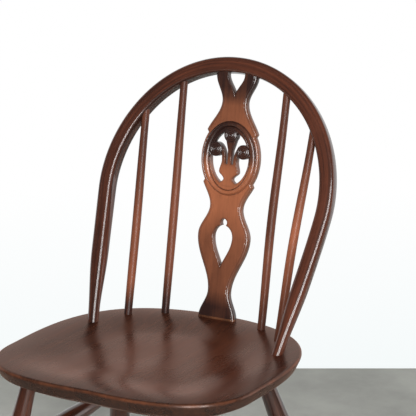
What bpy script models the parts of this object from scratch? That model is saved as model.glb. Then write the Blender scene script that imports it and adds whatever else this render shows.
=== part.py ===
"""Hoop-back dining chair with a pierced thistle splat, in metres, +Z up, standing on z = 0.

Pieces are modelled in the seat's frame (x to the sitter's left, y to the back from the line through
the bow's feet, z up from the seat's rim) and hang from one empty that stands that frame on the floor.
"""

import math

import bmesh
import bpy
from mathutils import Matrix, Vector

# Fits
CLEARANCE = 0.0003

# Seat: outline, edge and saddle
SEAT_HEIGHT = 0.435
SEAT_HALF_WIDTH = 0.217
SEAT_FRONT = 0.285
SEAT_REAR = 0.127
SEAT_WIDEST = 0.157
SEAT_FRONT_FLAT = 0.036
SEAT_FRONT_CORNER = 0.154
SEAT_SIDE_RUN = 0.082
SEAT_REAR_ROUND = 0.244
SEAT_THICKNESS = 0.034
SEAT_EDGE = 0.021
SEAT_UNDERCUT = 0.010
SEAT_BEVEL = 0.026
SEAT_ARRIS = 0.005
RIM_WIDTH = 0.026
DISH_DEPTH = 0.009
DISH_RUN = 0.45
DISH_RINGS = (0.1, 0.2, 0.3, 0.42, 0.6, 0.8, 0.95)
POMMEL_HEIGHT = 0.005
POMMEL_WIDTH = 0.045
POMMEL_LENGTH = 0.130

# Back bow: centre line in its leaning sheet, how far that sheet sweeps back, and section
BOW_FOOT_SPREAD = 0.165
BOW_HALF_WIDTH = 0.1934
BOW_SPRING = 0.2235
BOW_CROWN = 0.206
BOW_SIDE_BOW = 1.15
BOW_LEAN = math.radians(23.7)
BOW_SWEEP = 0.006
BOW_SWEEP_UP = 0.200
BOW_WIDTH = 0.0240
BOW_DEPTH = 0.0235
BOW_FOOT_DIAMETER = 0.0172
BOW_TAPER = 0.110
BOW_ARRIS = 0.0044
BOW_FLAT = 0.0002
BOW_TWIST = math.radians(8)
BOW_TENON = 0.030

# Spindles, outer then inner: foot x, foot y, top x
SPINDLE_OUTER = (0.1353, 0.0567, 0.1500)
SPINDLE_INNER = (0.087, 0.0913, 0.092)
SPINDLE_FORWARD = 0.0050
SPINDLE_BEND = 0.0025
SPINDLE_FOOT_DIAMETER = 0.0124
SPINDLE_TOP_DIAMETER = 0.0120
SPINDLE_SWELL = 0.0008
SPINDLE_SOCKET = 0.017
SPINDLE_TOP_TENON = 0.004

# Splat: heights are measured up from the seat, drops down from the bow's centre line
SPLAT_FOOT_Y = 0.0990
SPLAT_THICKNESS = 0.0125
SPLAT_FORWARD = 0.0045
SPLAT_FOOT_HALF = 0.0316
SPLAT_WAIST_HALF = 0.0182
SPLAT_WAIST_UP = 0.043
SPLAT_BELLY_HALF = 0.0445
SPLAT_BELLY_UP = 0.130
SPLAT_NECK_HALF = 0.0273
SPLAT_NECK_UP = 0.177
SPLAT_EAR_HALF = 0.047
SPLAT_EAR_REACH = 0.0265
OVAL_UP = 0.2546
OVAL_HALF_WIDTH = 0.0506
OVAL_HALF_HEIGHT = 0.0625
OVAL_NOTCH = 0.037
OVAL_EAR = 0.0045
COLLAR_HALF = 0.0212
COLLAR_DROP = 0.056
HORN_HALF = 0.035
HORN_DROP = 0.015
FORK_HALF = 0.0148
FORK_TIP_DROP = 0.0475
FORK_DROP = 0.013
TONGUE_DEPTH = 0.011
TONGUE_THICKNESS = 0.007
TONGUE_SHOULDER = 0.004
HORN_TONGUE_DROP = 0.002
PIN_DIAMETER = 0.002
PIN_LENGTH = 0.016

# Splat: drop opening
DROP_TIP_UP = 0.082
DROP_WIDEST_UP = 0.130
DROP_HALF = 0.0172
DROP_TIP_CURVE = 1.3
DROP_NECK_HALF = 0.0045
DROP_SHOULDER = 0.0188
DROP_FINIAL_UP = 0.153
DROP_FINIAL_RADIUS = 0.0058

# Splat: pierced oval with its bead, vase and three plumes
EYE_HALF_WIDTH = 0.034
EYE_HALF_HEIGHT = 0.043
BEAD_HALF_WIDTH = 0.0415
BEAD_HALF_HEIGHT = 0.0540
BEAD_WIDTH = 0.0095
BEAD_RISE = 0.0027
FIELD_SINK = 0.0012
VASE_NECK_HALF = 0.0075
VASE_NECK_UP = 0.2218
VASE_LIP_HALF = 0.0166
VASE_LIP_UP = 0.2332
VASE_FOOT_HALF = 0.020
VASE_FOOT_UP = 0.2095
PLUME_HEAD_RADIUS = 0.0114
PLUME_HEAD_RISE = 0.0012
PLUME_HEAD_CREST = 0.0060
PLUME_STEM_WIDTH = 0.0060
PLUME_SIDE_X = 0.0245
PLUME_SIDE_UP = 0.267
PLUME_TOP_UP = 0.2913
PLUME_SPREAD_UP = 0.250
PLUME_SPLIT_UP = 0.2455
PLUME_SLOT = 0.0042
PLUME_CURL = math.radians(100)
PLUME_MIDDLE_HALF = 0.0029
PLUME_MIDDLE_FLARE = 0.0036
PLUME_MIDDLE_TOP_HALF = 0.0108

# Legs: where each axis leaves the seat's underside, how far its foot spreads, and its turning
LEG_FRONT = (0.142, -0.215)
LEG_REAR = (0.123, 0.020)
LEG_FRONT_SPREAD = (0.080, -0.060)
LEG_REAR_SPREAD = (0.094, 0.120)
LEG_TENON_DIAMETER = 0.021
LEG_TENON = 0.020
LEG_NECK = 0.012
LEG_TOP_DIAMETER = 0.0235
LEG_SHOULDER = 0.026
LEG_SWELL_DIAMETER = 0.0330
LEG_SWELL_DROP = 0.150
LEG_FOOT_DIAMETER = 0.0230

# Stretchers
STRETCHER_FRONT_DROP = 0.145
STRETCHER_REAR_DROP = 0.123
STRETCHER_END_DIAMETER = 0.0150
STRETCHER_SWELL_DIAMETER = 0.0290
STRETCHER_TENON = 0.003
CROSS_FORWARD = 0.42
CROSS_SWELL_DIAMETER = 0.0250
CROSS_TENON = 0.006

# Wedges
WEDGE_THICKNESS = 0.0022
WEDGE_EDGE = 0.0008
WEDGE_LENGTH = 0.013
WEDGE_SHARE = 0.8

# Finishes: colour, roughness, metallic
WOOD_STAIN = ((0.085, 0.030, 0.017, 1.0), 0.32, 0.0)
WOOD_LIGHT = ((0.160, 0.062, 0.030, 1.0), 0.32, 0.0)
WEDGE_WOOD = ((0.300, 0.160, 0.080, 1.0), 0.60, 0.0)
PIN_STEEL = ((0.450, 0.440, 0.420, 1.0), 0.35, 1.0)

# Facets
ROUND_SIDES = 20
SMALL_SIDES = 14
SMOOTH_ANGLE = math.radians(40)


def ease(start, end, share):
    """Half a cosine wave from start to end."""
    return start + (end - start) * (0.5 - 0.5 * math.cos(math.pi * min(1.0, max(0.0, share))))


def waves(stations, height):
    """The width at a height on a curve that swings between (height, width) stations."""
    for (low, wide_low), (high, wide_high) in zip(stations, stations[1:]):
        if height <= high:
            return ease(wide_low, wide_high, (height - low) / (high - low))
    return stations[-1][1]


def spread(start, end, count):
    """Evenly spaced values, both ends included."""
    return [start + (end - start) * i / (count - 1) for i in range(count)]


def clear_scene():
    for thing in list(bpy.data.objects):
        bpy.data.objects.remove(thing, do_unlink=True)


def finish(name, look):
    colour, roughness, metallic = look
    material = bpy.data.materials.new(name)
    material.use_nodes = True
    shader = material.node_tree.nodes["Principled BSDF"]
    shader.inputs["Base Color"].default_value = colour
    shader.inputs["Roughness"].default_value = roughness
    shader.inputs["Metallic"].default_value = metallic
    return material


def skin(name, rings, root, look=None):
    """A closed body through matching rings of points; with no look it is a cutter."""
    mesh = bpy.data.meshes.new(name)
    shape = bmesh.new()
    loops = [[shape.verts.new(point) for point in ring] for ring in rings]
    count = len(loops[0])
    for lower, upper in zip(loops, loops[1:]):
        for i in range(count):
            j = (i + 1) % count
            shape.faces.new((lower[i], lower[j], upper[j], upper[i]))
    shape.faces.new(loops[0][::-1])
    shape.faces.new(loops[-1])
    bmesh.ops.recalc_face_normals(shape, faces=shape.faces)
    shape.to_mesh(mesh)
    shape.free()
    mesh.shade_smooth()
    mesh.set_sharp_from_angle(angle=SMOOTH_ANGLE)
    thing = bpy.data.objects.new(name, mesh)
    bpy.context.scene.collection.objects.link(thing)
    thing.parent = root
    if look is None:
        thing.hide_render = True
        thing.display_type = "WIRE"
    else:
        mesh.materials.append(finish(name, look))
    return thing


def boolean(target, tools, operation):
    for tool in tools:
        step = target.modifiers.new(tool.name, "BOOLEAN")
        step.operation = operation
        step.solver = "EXACT"
        step.object = tool


def circle(radius, z, sides):
    turns = [2 * math.pi * i / sides for i in range(sides)]
    return [Vector((radius * math.cos(a), radius * math.sin(a), z)) for a in turns]


def turned(name, start, end, profile, root, look=None, sides=ROUND_SIDES):
    """A turned body: profile lists (distance from start towards end, radius)."""
    thing = skin(name, [circle(radius, z, sides) for z, radius in profile], root, look)
    thing.location = start
    thing.rotation_mode = "QUATERNION"
    thing.rotation_quaternion = (end - start).to_track_quat("Z", "Y")
    return thing


def bore(name, start, end, radius, root, sides=SMALL_SIDES):
    """A round cutter whose flats, not its corners, lie at the radius."""
    length = (end - start).length
    corner = radius / math.cos(math.pi / sides)
    return turned(name, start, end, [(0.0, corner), (length, corner)], root, sides=sides)


def prism(name, outline, front, back, root, look=None):
    """An outline in x and z, carried from front to back along y."""
    rings = [[Vector((x, y, z)) for x, z in outline] for y in (front, back)]
    return skin(name, rings, root, look)


def mirrored(half):
    """A closed outline from its right half, listed from the bottom to the top."""
    left = [(-x, z) for x, z in reversed(half) if x > 0]
    return half + left


# Seat


def bezier(a, b, c, d, share):
    rest = 1 - share
    return a * rest**3 + b * 3 * rest**2 * share + c * 3 * rest * share**2 + d * share**3


def seat_outline(steps=14):
    """Points round the seat's rim, from the middle of the front towards +x."""
    front = Vector((0, -SEAT_FRONT))
    side = Vector((SEAT_HALF_WIDTH, -SEAT_WIDEST))
    rear = Vector((0, SEAT_REAR))
    across = Vector((1, 0))
    back = Vector((0, 1))
    front_quarter = (front, front + across * SEAT_FRONT_FLAT, side - back * SEAT_FRONT_CORNER, side)
    rear_quarter = (side, side + back * SEAT_SIDE_RUN, rear + across * SEAT_REAR_ROUND, rear)
    half = [bezier(*front_quarter, i / steps) for i in range(steps)]
    half += [bezier(*rear_quarter, i / steps) for i in range(steps + 1)]
    return half + [Vector((-p.x, p.y)) for p in half[-2:0:-1]]


def inset(outline, distance):
    """The outline moved inwards, each point along its own normal."""
    moved = []
    for i, point in enumerate(outline):
        along = (outline[(i + 1) % len(outline)] - outline[i - 1]).normalized()
        moved.append(point + Vector((-along.y, along.x)) * distance)
    return moved


def saddle(x, y, share):
    """Height of the seat's hollow: share runs from 0 at the rim to 1 at the middle."""
    fall = ease(0, 1, share / DISH_RUN)
    forward = ease(0, 1, (-y - SEAT_FRONT + SEAT_WIDEST + POMMEL_LENGTH / 2) / POMMEL_LENGTH)
    pommel = POMMEL_HEIGHT * forward * math.exp(-((x / POMMEL_WIDTH) ** 2))
    return (pommel - DISH_DEPTH) * fall


def make_seat(root):
    rim = seat_outline()
    middle = Vector((0, (SEAT_REAR - SEAT_FRONT) / 2))
    under = inset(rim, SEAT_UNDERCUT + SEAT_BEVEL)
    corner = SEAT_ARRIS * (1 - math.sqrt(0.5))
    edge = [
        (SEAT_UNDERCUT + SEAT_BEVEL, -SEAT_THICKNESS),
        (SEAT_UNDERCUT + SEAT_ARRIS, -SEAT_EDGE - SEAT_ARRIS / 2),
        (SEAT_UNDERCUT / 2, -SEAT_EDGE + SEAT_ARRIS / 2),
        (0.0, -SEAT_ARRIS),
        (corner, -corner),
        (SEAT_ARRIS, 0.0),
        (RIM_WIDTH, 0.0),
    ]
    rings = [[((middle + p) / 2).to_3d() - Vector((0, 0, SEAT_THICKNESS)) for p in under]]
    for distance, z in edge:
        rings.append([Vector((p.x, p.y, z)) for p in inset(rim, distance)])
    inner = inset(rim, RIM_WIDTH)
    for share in DISH_RINGS:
        flat = [middle + (p - middle) * (1 - share) for p in inner]
        rings.append([Vector((p.x, p.y, saddle(p.x, p.y, share))) for p in flat])
    return skin("seat", rings, root, WOOD_STAIN)


# Back bow


def bow_point(x, up, behind=0.0):
    """A point of the bow's leaning sheet, which sweeps back a little above the feet."""
    sweep = BOW_SWEEP * ease(0, 1, up / BOW_SWEEP_UP)
    y = sweep + up * math.sin(BOW_LEAN) + behind * math.cos(BOW_LEAN)
    return Vector((x, y, up * math.cos(BOW_LEAN) - behind * math.sin(BOW_LEAN)))


def bow_up(x):
    """How far up its sheet the crown's centre line is, at x."""
    return BOW_SPRING + BOW_CROWN * math.sqrt(1 - (x / BOW_HALF_WIDTH) ** 2)


def bow_line(side_steps=10, crown_steps=28):
    """The centre line (x, up), from the right foot over the crown to the left foot."""
    side = []
    for share in spread(0, 1, side_steps)[:-1]:
        swing = 1 - (1 - share) ** BOW_SIDE_BOW
        x = BOW_FOOT_SPREAD + (BOW_HALF_WIDTH - BOW_FOOT_SPREAD) * swing
        side.append(Vector((x, share * BOW_SPRING)))
    crown = []
    for angle in spread(0, math.pi, crown_steps):
        up = BOW_SPRING + BOW_CROWN * math.sin(angle)
        crown.append(Vector((BOW_HALF_WIDTH * math.cos(angle), up)))
    return side + crown + [Vector((-p.x, p.y)) for p in reversed(side)]


def bow_foot_direction():
    """The way in which the right foot runs down into the seat, in the bow's sheet."""
    first, second = bow_line()[:2]
    return (first - second).normalized()


def bow_section(width, depth, arris, steps=3):
    """Points (outwards, behind) of a rectangle with rounded arrises."""
    arris = min(arris, (width - BOW_FLAT) / 2, (depth - BOW_FLAT) / 2)
    points = []
    for corner in range(4):
        middle = Vector((width / 2 - arris, depth / 2 - arris))
        if corner in (1, 2):
            middle.x = -middle.x
        if corner in (2, 3):
            middle.y = -middle.y
        for turn in spread(corner * math.pi / 2, (corner + 1) * math.pi / 2, steps):
            points.append(middle + Vector((math.cos(turn), math.sin(turn))) * arris)
    return points


def bow_rings(grow=0.0):
    line = bow_line()
    foot = bow_foot_direction()
    radius = BOW_FOOT_DIAMETER / 2
    below = BOW_TENON / math.cos(BOW_LEAN)
    right_end = line[0] + foot * below
    line = [right_end] + line + [Vector((-right_end.x, right_end.y))]
    rings = []
    for i, point in enumerate(line):
        along = (line[min(i + 1, len(line) - 1)] - line[max(i - 1, 0)]).normalized()
        out = Vector((along.y, -along.x))
        share = ease(0, 1, point.y / BOW_TAPER)
        width = BOW_FOOT_DIAMETER + (BOW_WIDTH - BOW_FOOT_DIAMETER) * share
        depth = BOW_FOOT_DIAMETER + (BOW_DEPTH - BOW_FOOT_DIAMETER) * share
        arris = radius + (BOW_ARRIS - radius) * share
        twist = Matrix.Rotation(BOW_TWIST * share * abs(point.x) / BOW_HALF_WIDTH, 2)
        ring = []
        for corner in bow_section(width + 2 * grow, depth + 2 * grow, arris + grow):
            outwards, behind = twist @ corner
            place = point + out * outwards
            ring.append(bow_point(place.x, place.y, behind))
        rings.append(ring)
    return rings


def make_bow(root):
    return skin("back_bow", bow_rings(), root, WOOD_STAIN)


def bow_tenon_ends(side):
    """The axis of a foot's tenon, from above the seat to its lower end."""
    line = bow_line()
    foot = bow_foot_direction()
    below = BOW_TENON / math.cos(BOW_LEAN)
    low = line[0] + foot * below
    high = line[0] - foot * BOW_TENON
    return bow_point(side * high.x, high.y), bow_point(side * low.x, low.y)


# Spindles


def make_spindle(name, place, side, seat, bow, root):
    foot_x, foot_y, top_x = place
    foot = Vector((side * foot_x, foot_y, 0))
    top = bow_point(side * top_x, bow_up(top_x)) - Vector((0, SPINDLE_FORWARD, 0))
    along = (top - foot).normalized()
    start = foot - along * SPINDLE_SOCKET
    end = top + along * SPINDLE_TOP_TENON
    length = (end - start).length
    foot_radius = SPINDLE_FOOT_DIAMETER / 2
    top_radius = SPINDLE_TOP_DIAMETER / 2
    free = length - SPINDLE_SOCKET - 2 * BOW_WIDTH
    turn = along.to_track_quat("Z", "Y")
    bend = turn.inverted() @ Vector((-side, -1, 0)).normalized() * SPINDLE_BEND
    rings = [circle(foot_radius, 0, SMALL_SIDES)]
    for share in spread(0, 1, 13):
        bulge = math.sin(math.pi * share)
        radius = foot_radius + (top_radius - foot_radius) * share + SPINDLE_SWELL * bulge
        ring = circle(radius, SPINDLE_SOCKET + share * free, SMALL_SIDES)
        rings.append([point + bend * bulge**2 for point in ring])
    rings.append(circle(top_radius, length, SMALL_SIDES))
    spindle = skin(name, rings, root, WOOD_LIGHT)
    spindle.location = start
    spindle.rotation_mode = "QUATERNION"
    spindle.rotation_quaternion = turn
    above = foot + along * SPINDLE_SOCKET
    socket = bore(name + "_socket", start - along * CLEARANCE, above, foot_radius + CLEARANCE, root)
    boolean(seat, [socket], "DIFFERENCE")
    under = end - along * 2 * BOW_WIDTH
    socket = bore(name + "_top_socket", under, end + along * CLEARANCE, top_radius + CLEARANCE, root)
    boolean(bow, [socket], "DIFFERENCE")
    return spindle


# Splat


def splat_axis():
    """The splat's middle line: its foot, and where it comes level with the bow's centre line."""
    foot = Vector((0, SPLAT_FOOT_Y + SPLAT_THICKNESS / 2, 0))
    top = bow_point(0, BOW_SPRING + BOW_CROWN) - Vector((0, SPLAT_FORWARD, 0))
    return foot, top


def ellipse(half_width, half_height, angle):
    return half_width * math.cos(angle), OVAL_UP + half_height * math.sin(angle)


def splat_half(top):
    """Right half of the splat's outline, from the foot up to the horn and down into the fork."""
    ear_low = OVAL_UP - OVAL_NOTCH - OVAL_EAR
    ear_high = OVAL_UP + OVAL_NOTCH + OVAL_EAR
    body = [
        (0.0, SPLAT_FOOT_HALF),
        (SPLAT_WAIST_UP, SPLAT_WAIST_HALF),
        (SPLAT_BELLY_UP, SPLAT_BELLY_HALF),
        (SPLAT_NECK_UP, SPLAT_NECK_HALF),
        (OVAL_UP - SPLAT_EAR_REACH, SPLAT_EAR_HALF),
    ]
    half = [(waves(body, z), z) for z in spread(0, ear_low, 26)]
    notch = math.asin(OVAL_NOTCH / OVAL_HALF_HEIGHT)
    half += [ellipse(OVAL_HALF_WIDTH, OVAL_HALF_HEIGHT, angle) for angle in spread(-notch, notch, 12)]
    crown = [
        (OVAL_UP + SPLAT_EAR_REACH, SPLAT_EAR_HALF),
        (top - COLLAR_DROP, COLLAR_HALF),
        (top - HORN_DROP, HORN_HALF),
    ]
    half += [(waves(crown, z), z) for z in spread(ear_high, top - HORN_DROP, 14)]
    half.append((HORN_HALF, top))
    fork = [(top - FORK_TIP_DROP, 0.0), (top - FORK_DROP, FORK_HALF)]
    half.append((FORK_HALF, top))
    half += [(waves(fork, z), z) for z in spread(top - FORK_DROP, top - FORK_TIP_DROP, 8)]
    return half


def splat_outline(top):
    half = splat_half(top)
    left = [(-x, z) for x, z in reversed(half[:-1])]
    return half + left


def drop_outline():
    """The drop-shaped opening: a long tip, round shoulders and a small round finial."""
    half = [(0.0, DROP_TIP_UP)]
    for share in spread(0, 1, 9)[1:]:
        width = DROP_HALF * math.sin(math.pi / 2 * share) ** DROP_TIP_CURVE
        half.append((width, DROP_TIP_UP + (DROP_WIDEST_UP - DROP_TIP_UP) * share))
    for angle in spread(0, math.pi / 2, 8)[1:-1]:
        z = DROP_WIDEST_UP + DROP_SHOULDER * math.sin(angle)
        half.append((max(DROP_HALF * math.cos(angle), DROP_NECK_HALF), z))
    for angle in spread(-math.pi / 4, math.pi / 2, 6):
        z = DROP_FINIAL_UP + DROP_FINIAL_RADIUS * math.sin(angle)
        half.append((DROP_FINIAL_RADIUS * math.cos(angle), z))
    half[-1] = (0.0, half[-1][1])
    return mirrored(half)


def motif_outline():
    """The vase with its two side stems and its middle stem, without the plumes' heads."""
    vase = [
        (VASE_FOOT_UP, VASE_FOOT_HALF),
        (VASE_NECK_UP, VASE_NECK_HALF),
        (VASE_LIP_UP, VASE_LIP_HALF),
        (PLUME_SPREAD_UP, PLUME_MIDDLE_HALF + PLUME_SLOT + PLUME_STEM_WIDTH),
    ]
    half = [(waves(vase, z), z) for z in spread(VASE_FOOT_UP, PLUME_SPREAD_UP, 16)]
    near = PLUME_MIDDLE_HALF + PLUME_SLOT
    far = near + PLUME_STEM_WIDTH
    rise = PLUME_SIDE_UP + PLUME_HEAD_RADIUS - PLUME_SPREAD_UP
    for angle in spread(math.pi, PLUME_CURL, 7)[1:]:
        x = PLUME_SIDE_X + (PLUME_SIDE_X - far) * math.cos(angle)
        half.append((x, PLUME_SPREAD_UP + (rise - PLUME_STEM_WIDTH) * math.sin(angle)))
    for angle in spread(PLUME_CURL, math.pi, 7):
        x = PLUME_SIDE_X + (PLUME_SIDE_X - near) * math.cos(angle)
        half.append((x, PLUME_SPREAD_UP + rise * math.sin(angle)))
    half.append((near, PLUME_SPLIT_UP))
    half.append((PLUME_MIDDLE_HALF, PLUME_SPLIT_UP))
    half.append((PLUME_MIDDLE_FLARE, PLUME_SIDE_UP))
    half.append((PLUME_MIDDLE_TOP_HALF, PLUME_TOP_UP))
    return mirrored(half)


def bead_rings(steps=44, sides=8):
    """An oval moulding that stands proud of the splat's front face."""
    rings = []
    front = -SPLAT_THICKNESS / 2
    for turn in range(steps):
        angle = 2 * math.pi * turn / steps
        x, z = ellipse(BEAD_HALF_WIDTH, BEAD_HALF_HEIGHT, angle)
        slope = Vector((math.cos(angle) / BEAD_HALF_WIDTH, math.sin(angle) / BEAD_HALF_HEIGHT)).normalized()
        ring = []
        for side in range(sides):
            roll = 2 * math.pi * side / sides
            out = slope * (BEAD_WIDTH / 2 * math.cos(roll))
            ring.append(Vector((x + out.x, front + BEAD_RISE * math.sin(roll), z + out.y)))
        rings.append(ring)
    return rings


def closed_ring(name, rings, root):
    """A body whose last ring joins its first."""
    mesh = bpy.data.meshes.new(name)
    shape = bmesh.new()
    loops = [[shape.verts.new(point) for point in ring] for ring in rings]
    count = len(loops[0])
    for i, lower in enumerate(loops):
        upper = loops[(i + 1) % len(loops)]
        for a in range(count):
            b = (a + 1) % count
            shape.faces.new((lower[a], lower[b], upper[b], upper[a]))
    bmesh.ops.recalc_face_normals(shape, faces=shape.faces)
    shape.to_mesh(mesh)
    shape.free()
    thing = bpy.data.objects.new(name, mesh)
    bpy.context.scene.collection.objects.link(thing)
    thing.parent = root
    thing.hide_render = True
    thing.display_type = "WIRE"
    return thing


def place_on_splat(thing, foot, top):
    thing.location = foot
    thing.rotation_euler = (-math.atan2(top.y - foot.y, top.z - foot.z), 0, 0)
    return thing


def plume_head(name, x, up, root):
    """A curled plume tip: a round knob that stands proud of the stems."""
    half = SPLAT_THICKNESS / 2
    rings = []
    for y, radius in (
        (half - FIELD_SINK - CLEARANCE, PLUME_HEAD_RADIUS),
        (-half, PLUME_HEAD_RADIUS),
        (-half - PLUME_HEAD_RISE, PLUME_HEAD_CREST),
    ):
        rings.append([Vector((x + p.x, y, up + p.y)) for p in circle(radius, 0, SMALL_SIDES)])
    return skin(name, rings, root)


def tongue_box(name, x_low, x_high, low, high, grow, root):
    half = TONGUE_THICKNESS / 2 + grow
    outline = [
        (x_low - grow, low - grow),
        (x_high + grow, low - grow),
        (x_high + grow, high + grow),
        (x_low - grow, high + grow),
    ]
    return prism(name, outline, -half, half, root)


def make_splat(seat, bow, root):
    foot, top = splat_axis()
    height = (top - foot).length
    half = SPLAT_THICKNESS / 2
    splat = place_on_splat(prism("splat", splat_outline(height), -half, half, root, WOOD_LIGHT), foot, top)

    shoulder = skin("bow_shoulder", bow_rings(CLEARANCE), root)
    eye = [ellipse(EYE_HALF_WIDTH, EYE_HALF_HEIGHT, angle) for angle in spread(0, 2 * math.pi, 33)[:-1]]
    drop = place_on_splat(prism("drop_opening", drop_outline(), -2 * half, 2 * half, root), foot, top)
    eye_hole = place_on_splat(prism("eye_opening", eye, -2 * half, 2 * half, root), foot, top)
    floor_cut = skin("foot_level", level_box(), root)
    boolean(splat, [shoulder, drop, eye_hole, floor_cut], "DIFFERENCE")

    motif = prism("plume_stems", motif_outline(), -half + FIELD_SINK, half - FIELD_SINK, root)
    heads = [
        ("plume_head_top", 0.0, PLUME_TOP_UP),
        ("plume_head_right", PLUME_SIDE_X, PLUME_SIDE_UP),
        ("plume_head_left", -PLUME_SIDE_X, PLUME_SIDE_UP),
    ]
    raised = [motif] + [plume_head(name, x, up, root) for name, x, up in heads]
    raised.append(closed_ring("oval_bead", bead_rings(), root))
    for thing in raised:
        place_on_splat(thing, foot, top)
    boolean(splat, raised, "UNION")

    width = SPLAT_FOOT_HALF - TONGUE_SHOULDER
    spans = [("splat_foot", -width, width, -TONGUE_DEPTH, TONGUE_DEPTH)]
    for side, name in ((1, "right"), (-1, "left")):
        low, high = sorted((side * (FORK_HALF + TONGUE_SHOULDER), side * (HORN_HALF - TONGUE_SHOULDER)))
        spans.append(("horn_" + name, low, high, height - BOW_WIDTH, height - HORN_TONGUE_DROP))
    for name, x_low, x_high, low, high in spans:
        tongue = place_on_splat(tongue_box(name + "_tongue", x_low, x_high, low, high, 0.0, root), foot, top)
        mortise = tongue_box(name + "_mortise", x_low, x_high, low, high, CLEARANCE, root)
        boolean(splat, [tongue], "UNION")
        boolean(seat if name == "splat_foot" else bow, [place_on_splat(mortise, foot, top)], "DIFFERENCE")
    for side, name in ((1, "right"), (-1, "left")):
        make_pin("splat_pin_" + name, side * (FORK_HALF + HORN_HALF) / 2, splat, bow, root)
    return splat


def level_box():
    """The space below the level on which the splat's shoulders stand, just clear of the seat."""
    reach = SPLAT_FOOT_HALF * 2
    depth = SEAT_THICKNESS
    rings = []
    for z in (-depth, CLEARANCE):
        corners = ((-reach, 0), (reach, 0), (reach, 2 * SEAT_REAR), (-reach, 2 * SEAT_REAR))
        rings.append([Vector((x, y, z)) for x, y in corners])
    return rings


def make_pin(name, x, splat, bow, root):
    """A pin driven from behind through the bow into the horn's tongue."""
    up = bow_up(abs(x)) - BOW_WIDTH / 4
    back = bow_point(x, up, BOW_DEPTH / 2 - CLEARANCE)
    tip = bow_point(x, up, BOW_DEPTH / 2 - CLEARANCE - PIN_LENGTH)
    radius = PIN_DIAMETER / 2
    pin = turned(name, back, tip, [(0.0, radius), (PIN_LENGTH, radius)], root, PIN_STEEL, 8)
    along = (tip - back).normalized()
    hole = bore(name + "_hole", back - along * BOW_DEPTH, tip + along * CLEARANCE, radius + CLEARANCE, root)
    boolean(splat, [hole], "DIFFERENCE")
    boolean(bow, [hole], "DIFFERENCE")
    return pin


# Legs


def leg_line(top, spread_to, side):
    """A leg's axis where it leaves the seat's underside, and where it meets the floor."""
    upper = Vector((side * top[0], top[1], -SEAT_THICKNESS))
    lower = Vector((side * (top[0] + spread_to[0]), top[1] + spread_to[1], -SEAT_HEIGHT))
    return upper, lower


def leg_radius(drop, length):
    """A leg's radius at a distance below the seat."""
    if drop <= LEG_SWELL_DROP:
        share = (drop + LEG_SHOULDER) / (LEG_SWELL_DROP + LEG_SHOULDER)
        return ease(LEG_TOP_DIAMETER, LEG_SWELL_DIAMETER, share) / 2
    share = (drop - LEG_SWELL_DROP) / (length - LEG_SWELL_DROP)
    return ease(LEG_SWELL_DIAMETER, LEG_FOOT_DIAMETER, share) / 2


def wedge(name, end, inwards, tenon_diameter, root):
    """A wedge in a tenon's end; returns the cutter of its kerf."""
    face = inwards.cross(Vector((1, 0, 0))).normalized()
    across = face.cross(inwards)
    wide = across * tenon_diameter * WEDGE_SHARE / 2
    rings = []
    for depth, thickness in ((0.0, WEDGE_THICKNESS), (WEDGE_LENGTH, WEDGE_EDGE)):
        place = end + inwards * depth
        thin = face * thickness / 2
        rings.append([place + wide + thin, place - wide + thin, place - wide - thin, place + wide - thin])
    skin(name, rings, root, WEDGE_WOOD)
    rings = []
    thin = face * (WEDGE_THICKNESS / 2 + CLEARANCE)
    wide = across * tenon_diameter
    for depth in (-WEDGE_LENGTH, WEDGE_LENGTH + CLEARANCE):
        place = end + inwards * depth
        rings.append([place + wide + thin, place - wide + thin, place - wide - thin, place + wide - thin])
    return skin(name + "_kerf", rings, root)


def make_leg(name, top, spread_to, side, seat, root):
    upper, lower = leg_line(top, spread_to, side)
    along = (lower - upper).normalized()
    start = upper - along * LEG_TENON
    length = (lower - upper).length
    tenon_radius = LEG_TENON_DIAMETER / 2
    past = LEG_FOOT_DIAMETER
    slope = Vector((along.x, along.y)).length / -along.z
    neck = CLEARANCE + tenon_radius * slope
    profile = [(0.0, tenon_radius), (LEG_TENON + neck, tenon_radius)]
    for drop in spread(neck + LEG_NECK, length + past, 15):
        profile.append((LEG_TENON + drop, leg_radius(drop, length)))
    leg = turned(name, start, lower, profile, root, WOOD_STAIN)
    floor = skin(name + "_floor", floor_box(lower), root)
    above = start - along * CLEARANCE
    below = upper + along * LEG_TENON
    socket = bore(name + "_socket", above, below, tenon_radius + CLEARANCE, root, ROUND_SIDES)
    boolean(seat, [socket], "DIFFERENCE")
    kerf = wedge(name.replace("leg", "leg_wedge"), start, along, LEG_TENON_DIAMETER, root)
    boolean(leg, [floor, kerf], "DIFFERENCE")
    return leg


def floor_box(place):
    """The space under the floor at a foot."""
    reach = 3 * LEG_FOOT_DIAMETER
    corners = ((-reach, -reach), (reach, -reach), (reach, reach), (-reach, reach))
    rings = []
    for z in (-2 * reach, 0.0):
        rings.append([place + Vector((x, y, z)) for x, y in corners])
    return rings


# Stretchers


def leg_point(top, spread_to, side, drop):
    """The point of a leg's axis at a drop below the seat's rim."""
    upper, lower = leg_line(top, spread_to, side)
    return upper.lerp(lower, (drop - SEAT_THICKNESS) / (SEAT_HEIGHT - SEAT_THICKNESS))


def swelled(length, end_diameter, swell_diameter):
    """A stretcher's turning, thickest in its middle."""
    profile = []
    for share in spread(0, 1, 17):
        bulge = math.sin(math.pi * share) ** 2
        profile.append((share * length, (end_diameter + (swell_diameter - end_diameter) * bulge) / 2))
    return profile


def side_axis(side):
    front = leg_point(LEG_FRONT, LEG_FRONT_SPREAD, side, STRETCHER_FRONT_DROP)
    rear = leg_point(LEG_REAR, LEG_REAR_SPREAD, side, STRETCHER_REAR_DROP)
    return front, rear


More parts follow.
